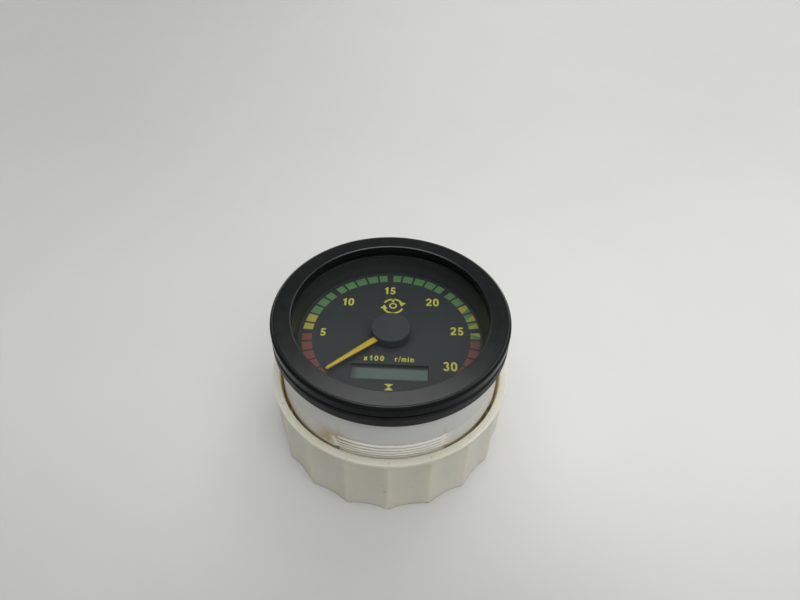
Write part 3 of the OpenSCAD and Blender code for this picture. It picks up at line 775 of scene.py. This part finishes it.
greens, yellows, reds = [], [], []
for k in range(30):
    g0 = 2.2 if k % 5 == 0 and k > 0 else 0.78
    g1 = 2.2 if k % 5 == 4 and k < 29 else 0.78
    a0, a1 = at(k) - g0 + 1.5, at(k + 1) + g1 + 1.5
    if k < 5 or k >= 26:
        reds.append(wedge(a0, a1))
    elif k < 7:
        yellows.append(wedge(a0, a1))
    elif k < 22:
        greens.append(wedge(a0, a1))
    else:
        # the change from green to yellow is drawn as slanting lines through four blocks
        s0, s1 = {22: (0.95, 0.45), 23: (0.80, 0.25), 24: (0.62, 0.12), 25: (0.05, 0.60)}[k]
        first, second = halves(a0, a1, s0, s1)
        if k == 25:
            greens.append(second), yellows.append(first)
        else:
            yellows.append(first) if k == 22 else greens.append(first)
            greens.append(second) if k == 22 else yellows.append(second)


def prints(name, outlines, key):
    meshes = [flat_mesh("p", [o], PZ0, PZ1) for o in outlines]
    return finish_mesh(name, merged(name, meshes), MAT[key], "instrument", ())


prints("scale_green", greens, "print_green")
prints("scale_yellow", yellows, "print_band_yellow")
prints("scale_red", reds, "print_red")

def ell(cx, cy, rx, ry, a0, a1, n=18):
    """Points along part of an ellipse."""
    return [(cx + rx * math.cos(math.radians(a0 + (a1 - a0) * k / n)), cy + ry * math.sin(math.radians(a0 + (a1 - a0) * k / n))) for k in range(n + 1)]


def band(path, w):
    """Outline of a stroke of width w along a path, with mitred corners and square ends."""
    left, right = [], []
    for i, p in enumerate(path):
        a = Vector(path[max(i - 1, 0)])
        b = Vector(path[min(i + 1, len(path) - 1)])
        p = Vector(p)
        d0 = (p - a).normalized() if i > 0 else (b - p).normalized()
        d1 = (b - p).normalized() if i < len(path) - 1 else d0
        n0, n1 = Vector((-d0.y, d0.x)), Vector((-d1.y, d1.x))
        m = (n0 + n1).normalized()
        m *= (w / 2) / max(0.5, m.dot(n0))
        left.append(tuple(p + m))
        right.append(tuple(p - m))
    return left + right[::-1]


def oval(cx, cy, rx, ry, p=2.4, n=56):
    """Closed outline between an ellipse and a rounded box."""
    out = []
    for k in range(n):
        a = 2 * math.pi * k / n
        c, s = math.cos(a), math.sin(a)
        out.append((cx + rx * math.copysign(abs(c) ** (2 / p), c), cy + ry * math.copysign(abs(s) ** (2 / p), s)))
    return out


# plain heavy characters: list of shapes, each a list of outlines, and the width with its space; digits are 1 high
GLYPHS = {
    "0": ([[oval(0.325, 0.5, 0.325, 0.51), oval(0.325, 0.5, 0.125, 0.345, 2.2)]], 0.77),
    "1": ([[[(0.44, 1.0), (0.44, 0.0), (0.225, 0.0), (0.225, 0.66), (0.03, 0.66), (0.03, 0.80), (0.14, 0.815), (0.22, 0.875), (0.265, 1.0)]]], 0.66),
    "2": ([[band([*ell(0.315, 0.69, 0.215, 0.225, 178, -28), (0.40, 0.41), (0.20, 0.24), (0.12, 0.10)], 0.185)],
           [[(0.02, 0.0), (0.62, 0.0), (0.62, 0.17), (0.02, 0.17)]]], 0.77),
    "3": ([[band(ell(0.305, 0.735, 0.195, 0.185, 165, -85), 0.175)], [band(ell(0.305, 0.275, 0.225, 0.205, 85, -168), 0.18)]], 0.77),
    "5": ([[band(ell(0.31, 0.31, 0.215, 0.225, 138, -165), 0.18)], [[(0.125, 1.0), (0.58, 1.0), (0.58, 0.84), (0.125, 0.84)]],
           [[(0.115, 0.99), (0.27, 0.99), (0.225, 0.50), (0.065, 0.44)]]], 0.77),
    "x": ([[band([(0.08, 0.0), (0.52, 0.70)], 0.20)], [band([(0.08, 0.70), (0.52, 0.0)], 0.20)]], 0.74),
    "r": ([[band([(0.12, 0.0), (0.12, 0.72)], 0.19)], [band(ell(0.40, 0.44, 0.24, 0.20, 170, 78), 0.18)]], 0.56),
    "/": ([[band([(0.03, -0.05), (0.33, 1.02)], 0.13)]], 0.44),
    "m": ([[band([(0.12, 0.0), (0.12, 0.72)], 0.18)], [band([*ell(0.31, 0.48, 0.16, 0.165, 160, 0), (0.47, 0.0)], 0.17)],
           [band([*ell(0.65, 0.48, 0.16, 0.165, 160, 0), (0.81, 0.0)], 0.17)]], 1.04),
    "i": ([[band([(0.12, 0.0), (0.12, 0.72)], 0.19)], [[(0.025, 0.83), (0.215, 0.83), (0.215, 1.0), (0.025, 1.0)]]], 0.38),
    "n": ([[band([(0.12, 0.0), (0.12, 0.72)], 0.19)], [band([*ell(0.34, 0.46, 0.19, 0.185, 160, 0), (0.53, 0.0)], 0.185)]], 0.74),
}


def words(body, height, centre, turn_deg=0.0, widen=1.0, space=0.0):
    """Printed characters as thin raised meshes, centred on a point of the dial."""
    total = sum(GLYPHS[c][1] + space for c in body) - space - 0.12
    t = math.radians(turn_deg)
    out, x0 = [], 0.0
    for c in body:
        shapes, step = GLYPHS[c]
        for i, shape in enumerate(shapes):
            placed = []
            for line in shape:
                pts = []
                for x, y in line:
                    x, y = (x + x0 - total / 2) * height * widen, (y - 0.5) * height
                    pts.append((centre[0] + x * math.cos(t) - y * math.sin(t), centre[1] + x * math.sin(t) + y * math.cos(t)))
                placed.append(pts)
            out.append(flat_mesh("g", placed, PZ0, PZ1 + 0.0015 * i))
        x0 += step + space
    return out


numerals = []
for label, x, y, h in (("5", -24.75, 0.7, 3.7), ("10", -16.45, 16.65, 3.8), ("15", -0.5, 23.05, 3.85), ("20", 15.8, 16.95, 3.9),
                       ("25", 24.35, 2.0, 3.9), ("30", 20.95, -14.9, 4.0)):
    numerals += words(label, h, (x, y), turn_deg=-2.0, widen=0.88)
finish_mesh("scale_numerals", merged("scale_numerals", numerals), MAT["print_yellow"], "instrument", ())

legend = words("x100", 2.3, (-5.8, -11.45), -2.6, 0.93, 0.17) + words("r/min", 2.3, (4.9, -11.9), -2.6, 0.84, 0.10)
finish_mesh("scale_legend", merged("scale_legend", legend), MAT["print_yellow"], "instrument", ())


def arc_band(cx, cy, r, w, a0, a1, n=28):
    """Outline of a curved stroke."""
    out = [(cx + (r + w / 2) * math.cos(math.radians(a0 + (a1 - a0) * k / n)), cy + (r + w / 2) * math.sin(math.radians(a0 + (a1 - a0) * k / n))) for k in range(n + 1)]
    inn = [(cx + (r - w / 2) * math.cos(math.radians(a0 + (a1 - a0) * k / n)), cy + (r - w / 2) * math.sin(math.radians(a0 + (a1 - a0) * k / n))) for k in range(n, -1, -1)]
    return out + inn


# turning-speed sign above the hub: an open ring with two arrow heads round a small shaft end
sx, sy = 0.7, 14.6
sign = [arc_band(sx, sy, 3.7, 0.75, 30, 150), arc_band(sx, sy, 3.7, 0.75, 200, 340),
        [(sx + 4.9, sy + 1.6), (sx + 2.2, sy + 2.3), (sx + 3.1, sy - 0.1)],
        [(sx - 4.9, sy - 1.0), (sx - 2.1, sy - 1.6), (sx - 3.2, sy + 0.7)],
        arc_band(sx, sy + 0.2, 1.25, 0.6, 0, 350),
        rect(sx, sy + 3.1, 1.0, 2.0, 0.05)]
prints("speed_sign", sign, "print_yellow")

# hour-glass sign below the counter window
hx, hy = -0.45, -24.3
hour = [rect(hx, hy + 1.15, 2.7, 0.42, 0.05, -2.2), rect(hx, hy - 1.15, 2.7, 0.42, 0.05, -2.2),
        [(hx - 1.05, hy + 0.95), (hx + 1.05, hy + 0.87), (hx + 0.12, hy + 0.0), (hx - 0.12, hy + 0.0)],
        [(hx - 1.05, hy - 0.87), (hx - 0.12, hy - 0.0), (hx + 0.12, hy - 0.0), (hx + 1.05, hy - 0.95)]]
prints("hour_sign", hour, "print_yellow")


# ---------------------------------------------------------------- counter window

cell = flat_mesh("counter_cell", [rect(WIN[0], WIN[1], 32.6, 11.0, 0.3, WIN[4])], 43.95, 46.1, bevel=0.15, segs=2)
finish_mesh("counter_cell", cell, MAT["counter_glass"], "instrument", ["counter_glass"], angle=12)


# ---------------------------------------------------------------- pointer

def along(x, y, z):
    """Point in the pointer's own direction."""
    t = math.radians(ZERO)
    return (x * math.cos(t) - y * math.sin(t), x * math.sin(t) + y * math.cos(t), z)


def blade_parts():
    secs = [(-4.0, 1.2, 0), (3.0, 1.30, 0), (7.0, 1.22, 1), (14.0, 1.02, 1), (21.0, 0.82, 1), (27.0, 0.66, 1), (28.25, 0.58, 1), (28.6, 0.40, 1), (28.7, 0.22, 1)]
    rows = []
    for x, w, _ in secs:
        tip = 0.0 if x < 28 else (0.06 if x < 28.5 else 0.14)
        rows.append([along(x, -w + 0.08, 49.12 + tip), along(x, -w, 49.24 + tip), along(x, -w, 49.58 - tip), along(x, -w + 0.12, 49.70 - tip),
                     along(x, 0.0, 49.89 - tip), along(x, w - 0.12, 49.70 - tip), along(x, w, 49.58 - tip), along(x, w, 49.24 + tip), along(x, w - 0.08, 49.12 + tip)])
    m = len(rows[0])
    verts = [p for r in rows for p in r]
    faces = []
    for i in range(len(rows) - 1):
        for k in range(m):
            l = (k + 1) % m
            faces.append((i * m + k, (i + 1) * m + k, (i + 1) * m + l, i * m + l))
    faces.append(tuple(range(m)))
    faces.append(tuple(reversed(range((len(rows) - 1) * m, len(rows) * m))))
    return verts, faces


hub_profile = rounded([(0.77, 48.1), (5.0, 48.1), (5.0, 50.2), (0.77, 50.2)], 0.2, 3)
build("pointer_blade", *joined(blade_parts(), turn(hub_profile, 96)), MAT["pointer_yellow"], "pointer", ["needle"], "pointer_yellow", angle=24)

cap_outer = rounded([(0.0, 50.2), (5.05, 50.2), (5.05, 47.9), (7.2, 47.9), (7.2, 51.3), (0.0, 51.3)], 0.1, 3, {0: 0, 5: 0, 4: 0.42, 3: 0.12, 2: 0.1})
cap = raw_mesh("cap", turn(cap_outer, 160))
hole = raw_mesh("hole", turn([(0, 49.0), (0.8, 49.0), (0.8, 50.9), (0, 50.9)], 32))
slot_v, slot_f = box_mesh(4.0, 8.5, -1.42, 1.42, 47.0, 49.95)
slot_cut = raw_mesh("slot", ([along(*p) for p in slot_v], slot_f))
finish_mesh("pointer_cap", boolean(cap, [hole, slot_cut]), MAT["hub_grey"], "pointer", ["hub_cap"], angle=30)


# ---------------------------------------------------------------- body

PITCH, CREST, ROOT = 1.65, 39.9, 39.2
FLUSH_Z = 28.9                                 # above this the plain parts of the wall are flush with the smooth body


def sector_of(a):
    a = (a + 117.0) % 360.0 - 117.0
    if -117 <= a <= -60 or 63 <= a <= 120:
        return "thread"
    if -60 < a < -27 or 120 < a < 153:
        return "relief"
    return "land"


def helix_shift(a):
    """How far the thread's rows sit above their places at the middle of the front run."""
    a = (a + 117.0) % 360.0 - 117.0
    if a <= -60:
        return PITCH * (a + 88.5) / 360.0
    if a < 63:
        return 0.13 + (a + 60.0) / 123.0 * (-0.955 - 0.13)
    if a <= 120:
        return PITCH * (a - 91.5) / 360.0 - 0.825
    return -0.695 + (a - 120.0) / 123.0 * (-0.13 + 0.695)


def flare(z):
    """How far the plain parts of the wall widen just above the nut."""
    if z < 30.2:
        return 0.5 * max(0.0, min(1.0, (z - 28.3) / 0.5))
    return 0.5 * max(0.0, min(1.0, (34.5 - z) / 4.3))


def body_columns():
    upper = rounded([(38.0, 54.4), (40.4, 54.4), (40.4, 53.6), (39.5, 53.15), (39.5, 50.3), (40.0, 50.3), (40.0, 37.0)],
                    0.06, 2, {0: 0.15, 1: 0.15, 5: 0.12, 6: 0.0})[1:-1]
    upper = held(upper, closed=False)
    neck = [(40.0, 36.16), (39.93, 36.08), (39.55, 36.02), (39.5, 35.94), (39.5, 35.66), (39.56, 35.58), (40.14, 35.34), (40.22, 35.26), (40.24, 35.14),
            (40.24, 34.45), (40.17, 34.35), (39.5, 34.17)]
    ledge = [(40.0, 35.75), (39.98, 35.53), (39.9, 35.45), (39.7, 35.37), (39.86, 35.31), (39.86, 35.25), (39.86, 35.1), (39.86, 34.95), (39.86, 34.8),
             (39.86, 34.6), (39.86, 34.45), (39.86, 34.3)]
    rows = int((35.0 - 5.9) / PITCH)
    # one turn from the top down: crest, steep underside, root, sloping upper side of the next ridge
    steps = [(0.98, 0.0), (0.955, 0.08), (0.80, 0.70), (0.765, 0.93), (0.72, 1.0), (0.33, 1.0), (0.29, 0.9), (0.20, 0.06), (0.17, 0.0)]
    foot = rounded([(ROOT, 4.2), (ROOT, 3.8), (38.9, 3.5), (37.4, 3.5), (37.4, 34.8), (38.0, 35.6), (38.0, 54.4)],
                   0.1, 2, {0: 0.0, 4: 0.0, 5: 0.0, 6: 0.15})
    foot = held(foot, closed=False)
    angles = []
    edges = [-117.0, -60.0, -27.0, 63.0, 120.0, 153.0, 243.0]
    for s, e in zip(edges, edges[1:]):
        kind = sector_of((s + e) / 2)
        n = round((e - s) / (1.0 if kind == "thread" else 1.5))
        inset = 0.28
        angles += [(s + inset + (e - s - 2 * inset) * k / n, kind) for k in range(n + 1)]
    cols = []
    for a, kind in angles:
        t = math.radians(a)
        mid = -88.5 if abs(a) > 60 and a < 0 else 91.5
        run = max(0.0, min(1.0, (28.5 - abs(a - mid)) / 2.4 + 0.1))      # the ridges run out over a few degrees
        col = list(upper)
        for (r0, z0), (r1, z1) in zip(neck, ledge):
            if kind == "thread":
                col.append((r1 + (r0 - r1) * run, z1 + (z0 - z1) * run))
            elif kind == "relief":
                col.append((r1, z1))
            else:
                col.append((40.0, z1))
        sh = helix_shift(a)
        for i in range(1, rows):
            for place, lev in steps:
                z = 35.395 - (i + 1) * PITCH + PITCH * place + sh
                high = z > FLUSH_Z
                slope = min(1.0, max(0.0, (FLUSH_Z - z) / 0.6))
                if kind == "thread":
                    rest = (39.86 if high else 39.86 + (ROOT - 39.86) * slope) + flare(z)
                    proud = 0.3 * min(1.0, max(0.0, (z - 29.0) / 0.8))
                    r = rest + (ROOT + (CREST - ROOT + proud) * lev - rest) * run
                elif kind == "relief":
                    r = (39.86 if high else 39.86 + (ROOT - 39.86) * slope) + flare(z)
                else:
                    r = 40.0 + flare(z) if z > 28.3 else (40.0 - 0.12 * slope if z > 28.6 else max(ROOT, CREST - 0.02 - (28.6 - z) * 1.4))
                col.append((r, z))
        col += foot
        cols.append([(r * math.cos(t), r * math.sin(t), z) for r, z in col])
    return cols


def holder_hole(x0):
    """Outline of a lamp holder's hole: round with a notch at each side."""
    pts = [(7.8, 2.2), *ell(0, 0, 6.08, 6.08, 22, 158, 34), (-7.8, 2.2), (-7.8, -2.2), *ell(0, 0, 6.08, 6.08, 202, 338, 34), (7.8, -2.2)]
    return [(x0 + px, 8 + py) for px, py in pts]


wall_rear = flat_mesh("rear", [circle(0, 0, 37.9, 200), rect(0, -18, 27.4, 15.4, 0.6), holder_hole(-24), holder_hole(24), circle(0, 22, 5.0, 64)],
                      8.0, 10.0, bevel=0.15, segs=2)

boss_parts = []
for px, py in ((0, 32), (-26.2, -18.4), (26.2, -18.4)):
    boss_parts.append(turn(rounded([(1.3, 9.2), (3.2, 9.2), (3.2, 13.0), (1.3, 13.0)], 0.2, 2, {0: 0, 1: 0}), 40, centre=(px, py)))
shell = raw_mesh("shell", columns(body_columns()))
bosses = raw_mesh("bosses", joined(*boss_parts))
finish_mesh("body_shell", merged("body_shell", [shell, wall_rear, bosses]), MAT["body_white"], "instrument", ["housing"], angle=34)


# ---------------------------------------------------------------- lock nut

LOBES, LOBE_H = 18, 1.45


def nut_columns():
    cols = []
    per = 24
    h = 180.0 / LOBES
    inner = [(40.86, 0.0), (39.96, 0.8)]
    for i in range(4):
        for k, (g, place) in enumerate(((0.0, 0.06), (0.7, 0.38), (0.7, 0.62), (0.0, 0.94))):
            inner.append((39.96 + g, 1.2 + (i + place) * PITCH))
    inner += [(39.96, 9.0), (41.2, 10.7), (41.2, 26.5), (41.6, 29.2), (41.85, 30.25), (42.1, 30.6)]
    inner = rounded([(43.0, 0.0), *inner, (44.0, 30.6)], 0.12, 2, {0: 0, len(inner) + 1: 0, len(inner): 0.14})[1:-1]
    inner = held(inner, closed=False)
    inner.reverse()                         # from the rim down to the foot
    for c in range(LOBES * per):
        a = 360.0 * c / (LOBES * per) - 90.0
        x = abs(((a + 450 + h) % (2 * h)) - h) / h
        f = (x * x / 0.24 if x < 0.12 else x - 0.06) / 0.94
        depth = LOBE_H * (1 - (1 - f) ** 2)
        t = math.radians(a)
        ztop = 27.4 + 1.1 * math.sin(min(1.0, x * 1.1) * math.pi / 2)      # flutes end in low arches under the collar
        col = []
        zs = [0.0, 0.06, 0.2, 0.42, 0.8, 4, 8, 12, 16, 20, 23, 25, 26, 26.6, 27.1, 27.5, 27.9, 28.2, 28.5, 28.75, 29.0]
        for z in zs:
            ridge = 44.08 + 0.14 * z / 29.0
            fade = 1.0 - min(1.0, max(0.0, (z - (ztop - 0.9)) / 0.9))
            fade = math.sqrt(max(0.0, 1 - (1 - fade) ** 2))
            r = ridge - depth * fade
            if z < 0.42:
                k = (0.42 - z) / 0.42
                r -= 0.42 * (1 - math.sqrt(max(0.0, 1 - k * k)))
            col.append((r, z))
        col.append((44.28, 29.1))
        col.append((44.50, 29.2))
        col.append((44.6, 29.34))
        for k in range(7):
            q = math.radians(90 * k / 6)
            col.append((44.6 - 0.3 + 0.3 * math.cos(q), 30.3 + 0.3 * math.sin(q)))
        col.append((43.4, 30.6))
        col += inner
        cols.append([(r * math.cos(t), r * math.sin(t), z) for r, z in col])
    return cols


build("lock_nut_shell", *columns(nut_columns()), MAT["nut_ivory"], "nut", ["lock_nut"], "nut_ivory", angle=30)


# ---------------------------------------------------------------- rear details

def carried(node, mat, bevel=0.0):
    """A CAD node that keeps its shape: its material, and softened edges."""
    ob = NODES[node]
    ob.data.materials.clear()
    ob.data.materials.append(MAT[mat])
    if bevel:
        w = ob.modifiers.new("weld", "WELD")
        w.merge_threshold = 1e-6
        b = ob.modifiers.new("bevel", "BEVEL")
        b.width = bevel * MM
        b.segments = 2
        b.limit_method = "ANGLE"
        b.angle_limit = math.radians(40)
        b.use_clamp_overlap = True


for node, mat in {
    "light_guide": "clear_acrylic", "pointer_shaft": "bright_steel", "rotor_magnet": "magnet_dark", "bobbin_lower": "former_plastic",
    "bobbin_upper": "former_plastic", "coil_inner": "copper_wire", "coil_outer": "copper_wire", "movement_can": "plated_steel",
    "lower_bush": "bush_brass", "upper_bush": "bush_brass", "display_board": "board_green", "display_parts": "chip_black",
    "counter_frame": "white_plastic", "counter_contacts": "contact_rubber", "counter_diffuser": "white_plastic",
    "main_board": "board_green", "main_parts": "chip_black", "board_link": "pin_metal", "spacers": "white_plastic",
    "board_screws": "plated_steel", "connector_shell": "connector_black", "terminal_pins": "pin_metal", "selector_body": "selector_blue",
    "selector_rotor": "selector_white", "access_plug": "black_rubber", "bulb_holder_left": "holder_black", "bulb_left": "lamp_glass",
    "bulb_holder_right": "holder_black", "bulb_right": "lamp_glass"}.items():
    carried(node, mat, {"connector_shell": 0.25, "bulb_holder_left": 0.25, "bulb_holder_right": 0.25, "access_plug": 0.25, "selector_body": 0.2,
                        "selector_rotor": 0.12, "terminal_pins": 0.1}.get(node, 0.0))


# ---------------------------------------------------------------- floor and light

def floor_material():
    f = Finish("pale_floor")
    x, y, _ = f.xyz()
    col = f.vary((0.81, 0.81, 0.80), 0.015, 0.01)
    # the pale board is a little darker at the left and in front, as it is unevenly lit
    shade = f.math("MULTIPLY", f.span(x, -260.0, 120.0, 0.76, 1.0), f.span(y, -210.0, 20.0, 0.60, 1.0))
    shade = f.math("MULTIPLY", shade, f.span(y, 60.0, 260.0, 1.0, 0.93))
    spot = f.n("ShaderNodeVectorMath", operation="DISTANCE")
    f.l(f.P, spot.inputs[0])
    spot.inputs[1].default_value = (5.0, -105.0, 0.0)
    shade = f.math("MULTIPLY", shade, f.span(spot.outputs["Value"], 0.0, 120.0, 0.77, 1.0))
    col = f.mix(1.0, col, f.ramp(shade, [(0.0, (0.0, 0.0, 0.0)), (1.0, (1.0, 1.0, 1.0))]), "MULTIPLY")
    under = f.span(f.radius(), 36.5, 38.5, 1.0, 0.0)
    glow = f.n("ShaderNodeBsdfTranslucent")
    f.put(glow.inputs["Color"], col)
    back = f.n("ShaderNodeNewGeometry").outputs["Backfacing"]
    b = f.surface(Base_Color=col, Roughness=f.span(f.noise(0.2, 5), 0.3, 0.7, 0.55, 0.7), Normal=f.bump(f.noise(1.5, 4), 0.01),
                  Specular_IOR_Level=0.3)
    tr = f.n("ShaderNodeBsdfTransparent")
    mx = f.n("ShaderNodeMixShader")
    f.l(back, mx.inputs[0])
    top = f.n("ShaderNodeMixShader")
    f.l(under, top.inputs[0])
    f.l(b.outputs[0], top.inputs[1])
    f.l(glow.outputs[0], top.inputs[2])
    f.l(top.outputs[0], mx.inputs[1])
    f.l(tr.outputs[0], mx.inputs[2])
    f.l(mx.outputs[0], f.out.inputs["Surface"])
    return f.m


floor_rows = []
for c in range(128):
    t = 2 * math.pi * c / 128
    row = [(0.0, 0.0, 0.0)]
    for r, z in [(100, 0), (400, 0), (900, 0), (1300, 0), (1600, 30), (1900, 140), (2150, 330), (2350, 600)]:
        row.append((r * math.cos(t), r * math.sin(t), z))
    floor_rows.append(row)
fv, ff = columns(floor_rows, closed=False)
floor_me = bpy.data.meshes.new("floor")
floor_me.from_pydata([(a * MM, b * MM, c * MM) for a, b, c in fv], [], ff)
bm = bmesh.new()
bm.from_mesh(floor_me)
bmesh.ops.remove_doubles(bm, verts=bm.verts, dist=1e-6)
bmesh.ops.recalc_face_normals(bm, faces=bm.faces)
if sum(face.normal.z for face in bm.faces) < 0:
    bmesh.ops.reverse_faces(bm, faces=bm.faces)
bm.to_mesh(floor_me)
bm.free()
floor_me.shade_smooth()
floor = to_object("floor", floor_me)
floor_me.materials.append(floor_material())

world = bpy.data.worlds.new("studio")
scene.world = world
world.use_nodes = True
wt = world.node_tree
wt.nodes.clear()
w_out = wt.nodes.new("ShaderNodeOutputWorld")
w_bg = wt.nodes.new("ShaderNodeBackground")
w_tc = wt.nodes.new("ShaderNodeTexCoord")
w_sep = wt.nodes.new("ShaderNodeSeparateXYZ")
w_ramp = wt.nodes.new("ShaderNodeValToRGB")
w_map = wt.nodes.new("ShaderNodeMapRange")
w_map.inputs["From Min"].default_value = -1.0
w_map.inputs["From Max"].default_value = 1.0
wt.links.new(w_tc.outputs["Generated"], w_sep.inputs[0])
wt.links.new(w_sep.outputs[2], w_map.inputs["Value"])
wt.links.new(w_map.outputs[0], w_ramp.inputs[0])


def z_stop(elevation):
    return (math.sin(math.radians(elevation)) + 1) / 2


def w_math(op, a, b):
    m = wt.nodes.new("ShaderNodeMath")
    m.operation = op
    for i, v in enumerate((a, b)):
        if isinstance(v, (int, float)):
            m.inputs[i].default_value = v
        else:
            wt.links.new(v, m.inputs[i])
    return m.outputs[0]


def w_map_range(value, a, b, c, d):
    m = wt.nodes.new("ShaderNodeMapRange")
    m.interpolation_type = "SMOOTHSTEP"
    wt.links.new(value, m.inputs["Value"])
    for key_name, v in (("From Min", a), ("From Max", b), ("To Min", c), ("To Max", d)):
        m.inputs[key_name].default_value = v
    return m.outputs[0]


e = w_ramp.color_ramp.elements
while len(e) > 1:
    e.remove(e[-1])
stops = [(0.0, 0.90), (z_stop(-60), 0.90), (z_stop(-25), 0.50), (z_stop(-2), 0.50), (z_stop(2), 0.30), (z_stop(22), 0.17), (z_stop(34), 0.09), (z_stop(46), 0.10), (z_stop(50), 0.16),
         (z_stop(53), 0.34), (z_stop(55.5), 1.0), (z_stop(58), 1.6), (z_stop(61), 1.9), (z_stop(66), 1.95), (1.0, 1.85)]
for i, (p, v) in enumerate(stops):
    el = e[0] if i == 0 else e.new(p)
    el.position = p
    el.color = (v, v * 1.0, v * 0.99, 1)
# a pale side wall at the right and a weaker one in front, both low
low = w_math("MULTIPLY", w_map_range(w_sep.outputs[2], 0.02, 0.12, 0.0, 1.0), w_map_range(w_sep.outputs[2], 0.45, 0.75, 1.0, 0.0))
wall = w_math("ADD", w_math("MULTIPLY", w_map_range(w_sep.outputs[0], 0.25, 0.85, 0.0, 1.0), 0.75),
              w_math("MULTIPLY", w_map_range(w_sep.outputs[1], -0.2, -0.8, 0.0, 1.0), 0.34))
w_mixer = wt.nodes.new("ShaderNodeMix")
w_mixer.data_type = "RGBA"
w_mixer.blend_type = "ADD"
w_mixer.clamp_result = False
w_mixer.inputs[0].default_value = 1.0
wt.links.new(w_ramp.outputs[0], w_mixer.inputs[6])
wt.links.new(w_math("MULTIPLY", low, wall), w_mixer.inputs[7])
w_bg.inputs["Strength"].default_value = 0.93
wt.links.new(w_mixer.outputs[2], w_bg.inputs["Color"])
wt.links.new(w_bg.outputs[0], w_out.inputs[0])

# main soft light, above and behind to the right
key_data = bpy.data.lights.new("key", "AREA")
key_data.shape = "DISK"
key_data.size = 0.5
key_data.energy = 1.35
key_data.color = (1.0, 0.99, 0.97)
key = bpy.data.objects.new("key", key_data)
scene.collection.objects.link(key)
key.visible_glossy = False
direction = Vector((math.cos(math.radians(55)) * math.cos(math.radians(60)), math.sin(math.radians(55)) * math.cos(math.radians(60)), math.sin(math.radians(60))))
key.location = direction * 1.3
key.rotation_mode = "QUATERNION"
key.rotation_quaternion = direction.to_track_quat("Z", "Y")

# weak soft light from the front right, which reaches into the gap above the nut
fill_data = bpy.data.lights.new("fill", "AREA")
fill_data.shape = "DISK"
fill_data.size = 0.8
fill_data.energy = 2.2
fill = bpy.data.objects.new("fill", fill_data)
scene.collection.objects.link(fill)
fill.visible_glossy = False
away = Vector((math.cos(math.radians(-52)) * math.cos(math.radians(52)), math.sin(math.radians(-52)) * math.cos(math.radians(52)), math.sin(math.radians(52))))
fill.location = away * 1.3
fill.rotation_mode = "QUATERNION"
fill.rotation_quaternion = away.to_track_quat("Z", "Y")

scene.view_settings.view_transform = "Standard"
scene.view_settings.look = "None"
scene.view_settings.exposure = 0.0
scene.view_settings.gamma = 1.0
